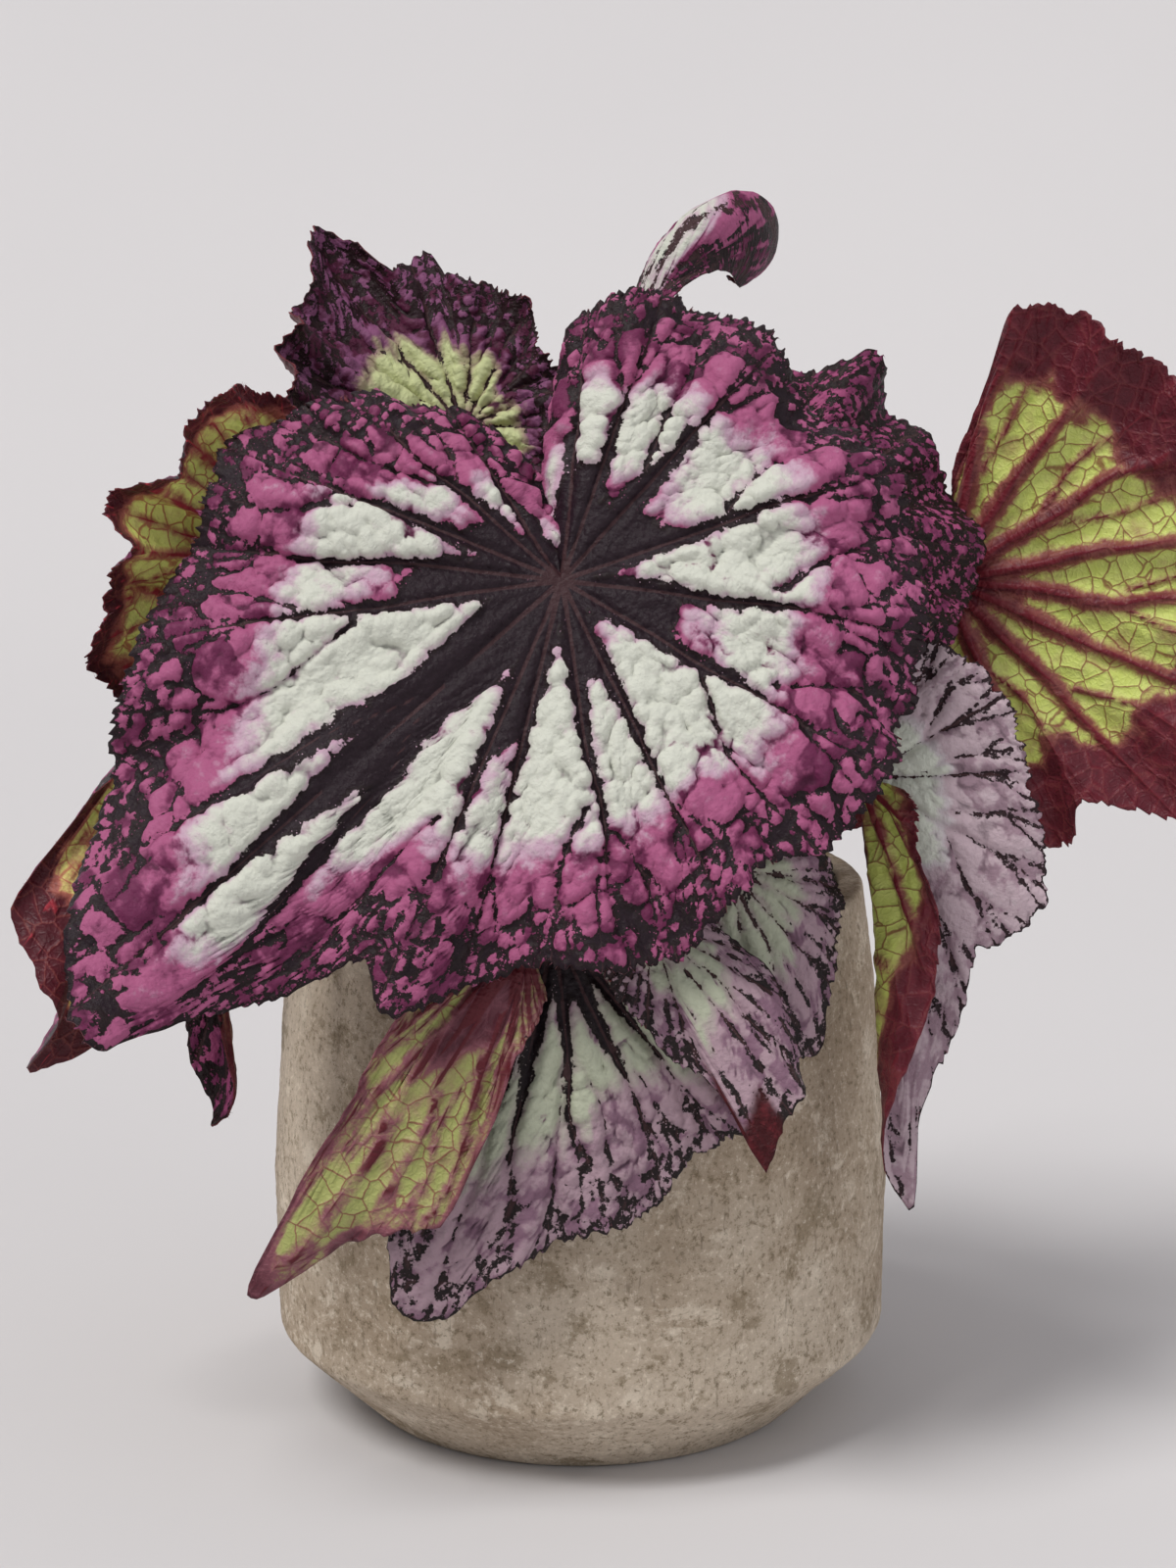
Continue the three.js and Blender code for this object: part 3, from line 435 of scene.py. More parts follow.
class Shader:
    """One node material. Each call adds a node and returns its output."""

    def __init__(self, name, **uniform):
        self.material = bpy.data.materials.new(name)
        self.material.use_nodes = True
        self.tree = self.material.node_tree
        self.tree.nodes.clear()
        self.surface = self.tree.nodes.new("ShaderNodeBsdfPrincipled")
        output = self.tree.nodes.new("ShaderNodeOutputMaterial")
        self.tree.links.new(self.surface.outputs[0], output.inputs[0])
        for key, value in uniform.items():
            self.surface.inputs[key.replace("_", " ")].default_value = value

    def put(self, socket, value):
        if isinstance(value, bpy.types.NodeSocket):
            self.tree.links.new(value, socket)
        else:
            socket.default_value = linear(value) if isinstance(value, str) else value

    def add(self, kind, inputs, output=0, **settings):
        node = self.tree.nodes.new("ShaderNode" + kind)
        for key, value in settings.items():
            setattr(node, key, value)
        for key, value in inputs.items():
            self.put(node.inputs[key], value)
        return node.outputs[output]

    def attribute(self, name, vector=False):
        return self.add("Attribute", {}, "Vector" if vector else "Fac", attribute_name=name)

    def place(self):
        return self.add("TexCoord", {}, "Object")

    def scaled(self, vector, factors):
        return self.add("Mapping", {"Vector": vector, "Scale": factors})

    def noise(self, vector, scale, detail=3, roughness=0.6):
        inputs = {"Vector": vector, "Scale": scale, "Detail": detail, "Roughness": roughness}
        return self.add("TexNoise", inputs)

    def voronoi(self, vector, scale, feature="F1"):
        return self.add("TexVoronoi", {"Vector": vector, "Scale": scale}, "Distance", feature=feature)

    def less(self, a, b):
        return self.add("Math", {0: a, 1: b}, operation="SUBTRACT")

    def centred(self, value):
        return self.less(value, 0.5)

    def sum(self, *terms):
        """Sum of (value, factor) pairs."""
        total = 0.0
        for value, factor in terms:
            total = self.add("Math", {0: value, 1: factor, 2: total}, operation="MULTIPLY_ADD")
        return total

    def ramp(self, value, low, high, to_low=0.0, to_high=1.0):
        return self.add("MapRange", {"Value": value, "From Min": low, "From Max": high, "To Min": to_low,
                                     "To Max": to_high}, interpolation_type="SMOOTHSTEP")

    def mix(self, share, a, b):
        return self.add("Mix", {0: share, 6: a, 7: b}, 2, data_type="RGBA")

    def bump(self, height, distance, strength):
        return self.add("Bump", {"Height": height, "Distance": distance, "Strength": strength})

    def finish(self, colour, roughness, normal):
        self.put(self.surface.inputs["Base Color"], colour)
        self.put(self.surface.inputs["Roughness"], roughness)
        self.put(self.surface.inputs["Normal"], normal)
        return self.material


def upper_material(paint):
    """Painted upper side: a dark ground with pale, puckered patches that turn pink outwards."""
    dark, pale, blush, pink, deep = PAINTS[paint]
    s = Shader("leaf_upper_" + paint, Specular_IOR_Level=0.2, Sheen_Weight=0.01, Sheen_Roughness=0.5)
    flat = s.attribute("flat", vector=True)
    patch, tone = s.attribute("patch"), s.attribute("tone")
    dome, cell, vein = s.attribute("dome"), s.attribute("cell"), s.attribute("vein")
    coarse = s.centred(s.noise(flat, 0.36, 3, 0.6))
    fine = s.centred(s.noise(flat, 1.5, 3, 0.6))
    wide = s.centred(s.noise(flat, 0.13, 3, 0.6))
    edge = s.sum((coarse, 2.4), (fine, 1.1), (patch, 1.0))
    inside = s.ramp(edge, -0.1, 0.08)
    fringe = s.ramp(edge, 1.6, 0.1)
    tint = s.sum((fringe, 0.3), (wide, 0.9), (coarse, 0.7), (fine, 0.3), (dome, -0.25), (tone, 1.0))
    patch_colour = s.mix(s.ramp(tint, -0.1, 0.4), pale, blush)
    patch_colour = s.mix(s.ramp(tint, 0.35, 0.75), patch_colour, pink)
    # the deep pink is partly random tone and partly painted shade, deeper where the puckers dip
    depth = s.sum((cell, 0.9), (wide, 2.0), (coarse, 1.0), (dome, -0.6), (tint, 0.7))
    patch_colour = s.mix(s.ramp(depth, 0.6, 1.15), patch_colour, deep)
    # painted shade: the creases between the puckers are darkened towards the dark ground
    patch_colour = s.mix(s.ramp(dome, 0.5, 0.1, 0, 0.42), patch_colour, dark)
    ground = s.mix(s.noise(flat, 0.5, 3), dark, lighter(dark))
    ground = s.mix(s.ramp(edge, -1.1, -0.3, 0, 0.3), ground, "#231c10")
    ground = s.mix(s.ramp(vein, 0.1, -0.15, 0, 0.6), ground, "#4c3133")
    dots = s.voronoi(flat, 1.15)
    dot_size = s.sum((s.noise(flat, 0.25, 2), 0.5), (s.ramp(patch, -2.6, -0.2), 0.16), (-0.29, 1.0))
    dotted = s.ramp(s.less(dots, dot_size), 0.03, -0.03)
    ground = s.mix(dotted, ground, s.mix(s.ramp(tint, 0.3, 0.7), blush, pink))
    colour = s.mix(inside, ground, patch_colour)
    colour = s.mix(s.attribute("stain"), colour, s.mix(s.ramp(coarse, -0.1, 0.2), "#3a0a10", "#5c1a22"))
    relief = s.sum((s.voronoi(flat, 0.75, "SMOOTH_F1"), -1.3), (fine, 1.1), (s.noise(flat, 3.5, 2), 0.35),
                   (inside, 0.5))
    normal = s.bump(relief, 0.4 * MM, 0.8)
    roughness = s.sum((inside, 0.12), (fine, 0.12), (0.4, 1.0))
    return s.finish(colour, roughness, normal)


def lighter(code):
    """The same colour, a little lighter."""
    return tuple(c * 1.7 + 0.003 for c in linear(code)[:3]) + (1.0,)


def under_material(kind):
    """Underside: maroon, with lime windows between red veins and a fine red net."""
    deep, maroon_light, lime_dark, lime_light, blotch, vein_red, net_red = UNDERS[kind]
    s = Shader("leaf_under_" + kind, Specular_IOR_Level=0.28, Sheen_Weight=0.02, Sheen_Roughness=0.5)
    flat = s.attribute("flat", vector=True)
    window, vein = s.attribute("window"), s.attribute("vein")
    bend = s.add("VectorMath", {0: flat, 1: s.add("TexNoise", {"Vector": flat, "Scale": 0.3}, "Color")})
    net = s.voronoi(bend, 0.19, "DISTANCE_TO_EDGE")
    fine_net = s.voronoi(bend, 0.62, "DISTANCE_TO_EDGE")
    wide = s.centred(s.noise(flat, 0.1, 3, 0.6))
    coarse = s.centred(s.noise(flat, 0.3, 4, 0.6))
    fine = s.centred(s.noise(flat, 1.5, 3))
    edge = s.sum((coarse, 3.2), (fine, 1.2), (wide, 3.0), (window, 1.0))
    maroon = s.mix(s.noise(flat, 0.16, 3), deep, maroon_light)
    maroon = s.mix(s.ramp(net, 0.0, 0.25, 0, 0.45), maroon, deep)
    maroon = s.mix(s.ramp(net, 0.05, 0.0, 0, 0.2), maroon, blotch)
    lime = s.mix(s.noise(flat, 0.2, 2), lime_dark, lime_light)
    lime = s.mix(s.ramp(wide, 0.0, 0.28, 0, 0.7), lime, blotch)
    lime = s.mix(s.ramp(fine_net, 0.09, 0.0, 0, 0.22), lime, lime_dark)
    lime = s.mix(s.ramp(net, 0.05, 0.01, 0, 0.8), lime, net_red)
    colour = s.mix(s.ramp(edge, -2.2, 0.3), maroon, blotch)
    colour = s.mix(s.ramp(edge, -0.4, 1.6), colour, lime)
    colour = s.mix(s.ramp(vein, 0.12, -0.12), colour, vein_red)
    relief = s.sum((s.ramp(net, 0.0, 0.12), -0.5), (s.ramp(fine_net, 0.0, 0.2), -0.25), (fine, 0.5),
                   (s.ramp(vein, 0.6, -0.3), 1.3))
    normal = s.bump(relief, 0.45 * MM, 0.7)
    return s.finish(colour, s.sum((fine, 0.15), (0.48, 1.0)), normal)


def stalk_material():
    s = Shader("stalk", Specular_IOR_Level=0.4, Sheen_Weight=0.3, Sheen_Roughness=0.4)
    place = s.place()
    streaks = s.noise(s.scaled(place, (900, 900, 120)), 1.0, 3)
    flecks = s.voronoi(place, 620)
    colour = s.mix(s.ramp(streaks, 0.35, 0.7), "#6d1f2b", "#a04a4c")
    colour = s.mix(s.ramp(flecks, 0.22, 0.1, 0, 0.6), colour, "#c79a8c")
    normal = s.bump(streaks, 0.3 * MM, 0.5)
    return s.finish(colour, 0.45, normal)


def hair_material():
    s = Shader("leaf_hair", Specular_IOR_Level=0.3, Sheen_Weight=0.2)
    colour = s.mix(s.noise(s.place(), 90, 2), "#5e1c30", "#a8707c")
    return s.finish(colour, 0.5, s.bump(s.noise(s.place(), 2000, 1), 0.02 * MM, 0.2))


def stone_material():
    """Weathered stone: taupe, with paler and darker blotches, fine grain and upright scratches."""
    s = Shader("stone", Specular_IOR_Level=0.25)
    place = s.place()
    shift = s.add("TexNoise", {"Vector": place, "Scale": 30.0}, "Color")
    shift = s.add("VectorMath", {0: shift, 1: (0.02, 0.02, 0.02)}, operation="MULTIPLY")
    warped = s.add("VectorMath", {0: place, 1: shift})
    blotch = s.noise(warped, 14, 6, 0.6)
    stain = s.noise(s.scaled(warped, (1, 1, 1.3)), 60, 7, 0.75)
    grain = s.noise(place, 1500, 4, 0.75)
    specks = s.noise(place, 520, 6, 0.8)
    scratches = s.noise(s.scaled(place, (1, 1, 0.22)), 480, 3, 0.7)
    colour = s.mix(s.ramp(blotch, 0.38, 0.62), "#ad9b86", "#c9baa7")
    colour = s.mix(s.ramp(stain, 0.53, 0.62, 0, 0.65), colour, "#8a7a62")
    colour = s.mix(s.ramp(stain, 0.46, 0.38, 0, 0.65), colour, "#e2d5c2")
    colour = s.mix(s.ramp(specks, 0.53, 0.62, 0, 0.7), colour, "#75674f")
    colour = s.mix(s.ramp(specks, 0.45, 0.36, 0, 0.6), colour, "#ece0ce")
    colour = s.mix(s.ramp(scratches, 0.6, 0.7, 0, 0.45), colour, "#6b5d4a")
    relief = s.sum((grain, 0.6), (specks, 0.9), (scratches, -0.5), (stain, 0.8))
    normal = s.bump(relief, 0.45 * MM, 0.9)
    return s.finish(colour, s.sum((grain, 0.12), (0.82, 1.0)), normal)


def nursery_material():
    s = Shader("nursery_plastic", Specular_IOR_Level=0.5)
    place = s.place()
    haze = s.noise(place, 45, 4)
    scuffs = s.noise(s.scaled(place, (1, 1, 8)), 160, 4, 0.7)
    colour = s.mix(s.ramp(haze, 0.35, 0.7), "#83857f", "#a3a49e")
    colour = s.mix(s.ramp(scuffs, 0.6, 0.72, 0, 0.5), colour, "#6b675f")
    normal = s.bump(scuffs, 0.08 * MM, 0.5)
    return s.finish(colour, s.sum((scuffs, 0.2), (0.32, 1.0)), normal)


def soil_material():
    s = Shader("soil", Specular_IOR_Level=0.2)
    place = s.place()
    crumbs = s.voronoi(place, 420)
    fibre = s.noise(place, 700, 5, 0.75)
    colour = s.mix(s.ramp(fibre, 0.35, 0.7), "#1b120c", "#45331f")
    colour = s.mix(s.ramp(s.noise(place, 120, 3), 0.5, 0.7), colour, "#2a1c12")
    normal = s.bump(s.sum((crumbs, -0.8), (fibre, 1.0)), 1.0 * MM, 1.0)
    return s.finish(colour, 0.95, normal)


def bead_material():
    s = Shader("soil_bead", Specular_IOR_Level=0.3)
    grain = s.noise(s.place(), 1500, 4, 0.7)
    colour = s.mix(s.ramp(grain, 0.4, 0.7), "#b9b0a2", "#e2ddd3")
    return s.finish(colour, 0.85, s.bump(grain, 0.2 * MM, 0.6))


# ---- leaf shape -----------------------------------------------------------------------------------------

def leaf_axes(leaf):
    azimuth, elevation = (math.radians(v) for v in leaf["face"])
    turn = math.radians(leaf["turn"])
    normal = np.array([math.sin(azimuth) * math.cos(elevation), -math.cos(azimuth) * math.cos(elevation),
                       math.sin(elevation)])
    right = np.array([math.cos(azimuth), math.sin(azimuth), 0.0])
    up = np.cross(normal, right)
    tip = math.cos(turn) * up + math.sin(turn) * right
    side = math.cos(turn) * right - math.sin(turn) * up
    return tip, side, normal


def ray_table(leaf):
    """The leaf's rays as rows of six values."""
    return np.array([ray + (0,) * (6 - len(ray)) for ray in leaf["rays"]], float)


def ray_length(leaf, degrees):
    rays = ray_table(leaf)
    return smooth_curve(rays[:, 0], rays[:, 1], degrees)


def blade_surface(leaf, degrees, share, extra):
    """Points of the blade's middle surface; extra is added to each ray's length."""
    rays = ray_table(leaf)
    length, fold, rise, bend, curl = (smooth_curve(rays[:, 0], rays[:, k], degrees) for k in range(1, 6))
    length = length + extra
    wave_height, wave_length = leaf["wave"]
    wave = wave_height * np.sin(2 * np.pi * degrees / wave_length)
    curl_from = leaf.get("curl_from", CURL_FROM)
    t = share[:, None] * (np.arange(RAY_STEPS) + 0.5) / RAY_STEPS
    curled = np.clip((t - curl_from) / (1 - curl_from), 0, None)
    pitch = np.radians(rise[:, None] + (wave - bend)[:, None] * t - curl[:, None] * curled ** 2)
    along = np.cos(pitch).mean(1) * length * share
    above = np.sin(pitch).mean(1) * length * share
    tip, side, normal = leaf_axes(leaf)
    angle = np.radians(degrees)
    folded = np.radians(fold) * np.sign(degrees)
    side_now = np.cos(folded)[:, None] * side + np.sin(folded)[:, None] * normal
    up_now = np.cos(folded)[:, None] * normal - np.sin(folded)[:, None] * side
    return (np.array(leaf["base"], float) + (along * np.cos(angle))[:, None] * tip
            + (along * np.sin(angle))[:, None] * side_now + above[:, None] * up_now)


def fan_grid(first, last, columns, rings):
    """Angles, shares, triangles and border of a fan that has fewer columns near the stalk."""
    zones = [
        (columns // 4, np.linspace(0.02, 0.25, rings // 4, endpoint=False)),
        (columns // 2, np.linspace(0.25, 0.5, rings // 4, endpoint=False)),
        (columns, np.linspace(0.5, 0.965, rings // 2, endpoint=False)),
        (2 * columns, np.linspace(0.965, 1.0, 4)),
    ]
    degrees, shares, starts, counts = [np.zeros(1)], [np.zeros(1)], [], []
    total = 1
    for count, rows in zones:
        for row in rows:
            degrees.append(np.linspace(first, last, count + 1))
            shares.append(np.full(count + 1, row))
            starts.append(total)
            counts.append(count)
            total += count + 1
    i = np.arange(counts[0])
    triangles = [np.stack([0 * i, starts[0] + i + 1, starts[0] + i], 1)]
    for a, b, n, m in zip(starts, starts[1:], counts, counts[1:]):
        i = np.arange(n)
        if m == n:
            triangles.append(np.stack([a + i, a + i + 1, b + i + 1], 1))
            triangles.append(np.stack([a + i, b + i + 1, b + i], 1))
        else:
            triangles.append(np.stack([a + i, b + 2 * i + 1, b + 2 * i], 1))
            triangles.append(np.stack([a + i, a + i + 1, b + 2 * i + 1], 1))
            triangles.append(np.stack([a + i + 1, b + 2 * i + 2, b + 2 * i + 1], 1))
    border = [0] + starts + list(range(starts[-1] + 1, total))
    border += [a + n for a, n in zip(starts[-2::-1], counts[-2::-1])]
    return np.concatenate(degrees), np.concatenate(shares), np.concatenate(triangles), np.array(border)


VEIN_SHARES = np.linspace(0, 1.04, 53)


def vein_paths(leaf, rng):
    """Each vein as [order, share where it starts, band factor, its angle at each of VEIN_SHARES]."""
    first, last = leaf["rays"][0][0], leaf["rays"][-1][0]
    listed = leaf.get("veins")
    if listed is None:
        gap = leaf["vein_gap"]
        listed = [(0, 0, 1.4)]
        for side, end in ((-1, first), (1, last)):
            angle = side * gap * 0.75
            while side * (end - angle) > 6:
                listed.append((angle + rng.uniform(-2, 2), 0, rng.uniform(0.8, 1.2)))
                listed.append((angle - side * gap * rng.uniform(0.4, 0.6), rng.uniform(0.3, 0.5), 0.5))
                angle += side * gap
    mains = [angle for angle, start, _ in listed if start == 0]
    paths = []
    for angle, start, factor in listed:
        wander = leaf.get("wander", 2.4) * smooth_noise(VEIN_SHARES * 5, angle * 3.7, 11)
        wander = wander * step(VEIN_SHARES, 0.1, 0.4)
        if start == 0:
            path = angle + wander
        else:
            parent = min(mains, key=lambda main: abs(main - angle))
            path = parent + (angle - parent) * step(VEIN_SHARES, start - 0.14, start + 0.22) + wander
        paths.append([1 if start == 0 else 2, start, factor, path])
    ends = sorted([p[3][-1] for p in paths] + [first - 4, last + 4])
    for parent in list(paths):
        end = parent[3][-1]
        k = ends.index(end)
        fork = rng.uniform(0.6, 0.74) if parent[0] == 1 else rng.uniform(0.74, 0.86)
        for side, room in ((-1, end - ends[k - 1]), (1, ends[k + 1] - end)):
            spread = side * room * rng.uniform(0.28, 0.42)
            beyond = np.clip((VEIN_SHARES - fork) / (1 - fork), 0, 2)
            paths.append([3, fork, 0.4, parent[3] + spread * beyond ** 0.85])
    return paths


def vein_fields(leaf, degrees, share, length, paths):
    """Millimetres to the nearest dark band, vein's edge, main vein and red band of the underside."""
    wide, narrow = leaf.get("band", (2.7, 0.8))
    radius = length * share
    band_gap, vein_gap, main_gap = (np.full(share.shape, 99.0) for _ in range(3))
    window_gap = np.full(share.shape, 99.0)
    fall = step(share, 0.8, 0.12)
    for order, start, factor, path in paths:
        at = np.interp(share, VEIN_SHARES, path)
        slope = np.interp(share, VEIN_SHARES, np.gradient(path, VEIN_SHARES)) * np.pi / 180 * share
        turn = np.abs(degrees - at)
        across = np.where(turn < 90, radius * np.sin(np.radians(np.minimum(turn, 90))), radius)
        gap = np.hypot(across / np.sqrt(1 + slope ** 2), np.maximum(start - share, 0) * length)
        if order == 1:
            band = narrow + (wide * factor - narrow) * fall
            width = 0.2 + 0.45 * (1 - share)
            main_gap = np.minimum(main_gap, gap)
        elif order == 2:
            band = narrow * (0.4 + factor * 0.8) + (factor - 0.5) * 2.2 * fall
            width = 0.15 + 0.25 * (1 - share)
        else:
            band = 0.5
            width = 0.12
        band_gap = np.minimum(band_gap, gap - band)
        vein_gap = np.minimum(vein_gap, gap - width)
        halo = (0.8 + 1.6 * fall if order == 1 else 0.3) * leaf.get("halo", 1.0)
        window_gap = np.minimum(window_gap, gap - halo)
    return band_gap, vein_gap, main_gap, window_gap


def finger_values(leaf, degrees, rng):
    """Shares at which each point's patch starts, turns pink and has broken up, and how pink it starts."""
    fingers = leaf.get("fingers")
    if fingers is None:
        bounds = np.arange(leaf["rays"][0][0], leaf["rays"][-1][0] + 14, 14.0)
        fingers = []
        for low, high in zip(bounds, bounds[1:]):
            zones = np.array(leaf["zones"]) + rng.uniform(-1, 1, 3) * (0.06, 0.05, 0.04)
            fingers.append((low, high, *zones))
    table = np.array(fingers, float)
    k = np.clip(np.searchsorted(table[:, 1], degrees), 0, len(table) - 1)
    return table[k, 2], table[k, 3], table[k, 4], rng.uniform(0.1, 0.8, len(table))[k]


def margin_growth(leaf, arc, share, size, seed):
    """Length that small lobes and uneven teeth add to each ray."""
    lobes = 1.6 * smooth_noise(arc / 9.0, 0.5, seed + 3) + 0.8 * smooth_noise(arc / 4.0, 0.5, seed + 4)
    jagged = smooth_noise(arc / 1.5, 0.5, seed + 5) + 0.4 * smooth_noise(arc / 0.8, 0.5, seed + 6)
    teeth = 1.9 * np.clip(1 - np.abs(jagged) * 1.7, 0, 1) - 0.8
    lobes = lobes * step(share, 0.72, 1.0) * size * leaf.get("crenate", 1.0)
    return lobes + teeth * step(share, 0.955, 1.0) * size ** 0.4


def island_field(leaf, outward, wobble, warp_u, warp_v, seed):
    """Millimetres inside the islands of a broken patch, below 0 between them, and each island's number."""
    grain, fill = leaf.get("grain", 1.0), leaf.get("fill", 0.0)
    thin, thick = leaf.get("crease", (0.1, 0.8))
    coarse_size, fine_size = (size * grain for size in leaf.get("islands", (7.2, 3.3)))
    near, to_border, number = cells(warp_u / coarse_size, warp_v / coarse_size, seed + 30)
    coarse = np.minimum((0.8 - (0.42 - fill) * outward + 0.1 * number - near) * coarse_size,
                        to_border * coarse_size - thin - (thick - thin) * outward)
    near, to_border, fine_number = cells(warp_u / fine_size, warp_v / fine_size, seed + 32)
    fine = np.minimum((0.38 + fill + 0.22 * fine_number - near) * fine_size,
                      to_border * fine_size - 0.08 - 0.3 * thick)
    outmost = step(outward + 0.25 * wobble, 0.55, 0.95)
    loose = 1 - 2 * max(fill, 0)
    island = np.maximum(coarse - 2.2 * outmost * loose, fine - 2.5 * (1 - outmost) * loose)
    return island, number * (1 - outmost) + fine_number * outmost


def leaf_pattern(leaf, degrees, share, length, flat_u, flat_v, rng, seed):
    """Values of the pattern at each point by name, and the puckers and main veins for the relief."""
    paths = vein_paths(leaf, rng)
    band_gap, vein_gap, main_gap, window_gap = vein_fields(leaf, degrees, share, length, paths)
    start, pink, broken, first_pink = finger_values(leaf, degrees, rng)
    warp_u = flat_u + 1.7 * smooth_noise(flat_u / 5, flat_v / 5, seed + 20)
    warp_v = flat_v + 1.7 * smooth_noise(flat_u / 5, flat_v / 5, seed + 21)
    grain = leaf.get("grain", 1.0)
    big = domes(warp_u / (5.6 * grain), warp_v / (5.6 * grain), seed + 22)
    small = domes(warp_u / (2.5 * grain), warp_v / (2.5 * grain), seed + 23)
    wobble = layered_noise(flat_u / 7, flat_v / 7, seed + 40)
    swell = (big + 0.6 * small - 1.0) * 1.3 * grain * (1 - 1.6 * max(leaf.get("fill", 0.0), 0))
    strip = np.minimum(band_gap, (share - start) * length * 0.7) + swell
    share_now = share + 0.04 * wobble
    outward = step(share_now, pink, broken + 0.14)
    island, number = island_field(leaf, outward, wobble, warp_u, warp_v, seed)
    room = (1 - share) * length * 0.8 - leaf.get("rim", 1.2)
    island = np.minimum(np.minimum(island, vein_gap - 0.3), room)
    spot_near, _, spot_number = cells(warp_u / 2.2, warp_v / 2.2, seed + 31)
    spots = np.where(spot_number > 0.5, (0.08 + 0.28 * spot_number ** 2 - spot_near) * 2.2, -2.0)
    breaking = step(share_now, pink + 0.02, pink + 0.12)
    dusted = np.maximum(strip, np.minimum(spots, -strip - 0.5) - 3 * step(share, broken, broken - 0.3))
    patch = dusted * (1 - breaking) + np.maximum(island, spots) * breaking
    tone = step(share_now, pink - 0.1, pink + 0.08)
    tone = np.maximum(tone, first_pink * step(share_now, start + 0.2, start))
    low, high = leaf["window"]
    inside = np.minimum((share - low) * length, (high - share + 0.09 * wobble) * length)
    stain = np.zeros(share.shape)
    if "stain" in leaf:
        stain_from, stain_to, stain_share = leaf["stain"]
        stain = step(degrees, stain_from, stain_from + 2) * step(degrees, stain_to, stain_to - 2)
        stain = stain * step(share + 0.03 * wobble, stain_share - 0.03, stain_share + 0.03)
    fields = dict(
        patch=patch, tone=tone, dome=0.7 * big + 0.3 * small, cell=number, vein=vein_gap,
        window=np.minimum(window_gap, inside * 0.6), stain=stain,
    )
    return fields, small, main_gap


def surface_relief(leaf, share, arc, size, flat_u, flat_v, fields, small, main_gap, seed):
    """Height of the pillows in the patches, grooves along the veins and ruffles at the margin."""
    raised = step(fields["patch"], -0.9, 1.8)
    relief = leaf["lift"] * (raised * (0.25 + 1.0 * fields["dome"]) + 0.16 * small * (1 - raised))
    relief -= 0.75 * np.exp(-(main_gap / 1.2) ** 2)
    relief -= 0.3 * np.exp(-(np.maximum(fields["vein"], 0) / 0.8) ** 2)
    relief += 0.12 * smooth_noise(flat_u / 1.6, flat_v / 1.6, seed + 50)
    relief *= step(share, 0.02, 0.14) * (1 - 0.45 * step(share, 0.85, 1.0)) * size ** 0.5
    return relief + 1.5 * smooth_noise(arc / 7.0, share * 3, seed + 60) * step(share, 0.75, 1.0) * size


def make_leaf(leaf, seed, upper, under):
    """The blade, with the points of its two sides, its normals and its border."""
    rng = np.random.default_rng(seed)
    rays = ray_table(leaf)
    lap = leaf.get("lap", 0)
    first, last = rays[0, 0], rays[-1, 0] + lap
    around = np.radians(last - first) * ray_length(leaf, np.linspace(first, last, 200)).mean()
    columns = 8 * max(6, round(around / leaf["spacing"] / 8))
    rings = 4 * max(4, round(rays[:, 1].mean() / leaf["spacing"] / 4))
    degrees, share, triangles, border = fan_grid(first, last, columns, rings)
    length = ray_length(leaf, degrees)
    arc = np.radians(degrees) * length.mean()
    size = np.clip(length.mean() / 60, 0.35, 1)
    extra = margin_growth(leaf, arc, share, size, seed)
    points = blade_surface(leaf, degrees, share, extra)
    normals = vertex_normals(points, triangles)
    if lap:
        tucked = step(degrees, last - lap - 3, last) * step(share, 0, 0.15)
        points = points - normals * (0.5 * tucked)[:, None]
    length = length + extra
    flat_u = length * share * np.cos(np.radians(degrees))
    flat_v = length * share * np.sin(np.radians(degrees))
    fields, small, main_gap = leaf_pattern(leaf, degrees, share, length, flat_u, flat_v, rng, seed)
    relief = surface_relief(leaf, share, arc, size, flat_u, flat_v, fields, small, main_gap, seed)
    points = points + normals * relief[:, None]
    normals = vertex_normals(points, triangles)
    half = (BLADE_THICKNESS - MARGIN_THINNING * step(share, 0.9, 1.0)) / 2
    ridge = MAIN_VEIN_RIDGE * np.exp(-(main_gap / 0.9) ** 2) * (1 - 0.8 * share) * step(share, 0.02, 0.14)
    top = points + normals * half[:, None]
    bottom = points - normals * (half + ridge)[:, None]

    count = len(points)
    here, following = border, np.roll(border, -1)
    walls = np.concatenate([
        np.stack([here, following, count + here], 1),
        np.stack([following, count + following, count + here], 1),
    ])
    faces = np.concatenate([triangles, count + triangles[:, ::-1], walls])
    slots = np.concatenate([np.zeros(len(triangles)), np.ones(len(triangles) + len(walls))])
    piece = make_mesh(leaf["name"] + "_blade", np.concatenate([top, bottom]), faces, [upper, under], slots)
    flat = np.stack([flat_u, flat_v, np.full(count, seed * 37.0)], 1)
    set_attribute(piece, "flat", np.concatenate([flat, flat]), vector=True)
    for name, values in fields.items():
        set_attribute(piece, name, np.concatenate([values, values]))
    add_bake_map(piece, flat_u, flat_v, count)
    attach(piece, BODY)
    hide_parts(leaf["name"])
    return piece, top, bottom, normals, border


def add_bake_map(piece, flat_u, flat_v, count):
    """A UV map with the two sides of the blade next to each other, at one scale."""
    width, height = np.ptp(flat_u) + 4, np.ptp(flat_v) + 4
    scale = 0.98 / max(2 * width, height)
    u = (flat_u - flat_u.min() + 2) * scale
    v = (flat_v - flat_v.min() + 2) * scale
    corner_u, corner_v = np.concatenate([u, u + width * scale]), np.concatenate([v, v])
    loops = np.zeros(len(piece.data.loops), np.int32)
    piece.data.loops.foreach_get("vertex_index", loops)
    by_face = loops.reshape(-1, 3)
    is_wall = (by_face < count).any(1) & (by_face >= count).any(1)
    by_face = np.where(is_wall[:, None], by_face % count + count, by_face)
    pairs = np.stack([corner_u[by_face.ravel()], corner_v[by_face.ravel()]], 1)
    layer = piece.data.uv_layers.new(name="OFBake")
    layer.data.foreach_set("uv", pairs.astype(np.float32).ravel())


# ---- stalks, rhizome and hairs --------------------------------------------------------------------------

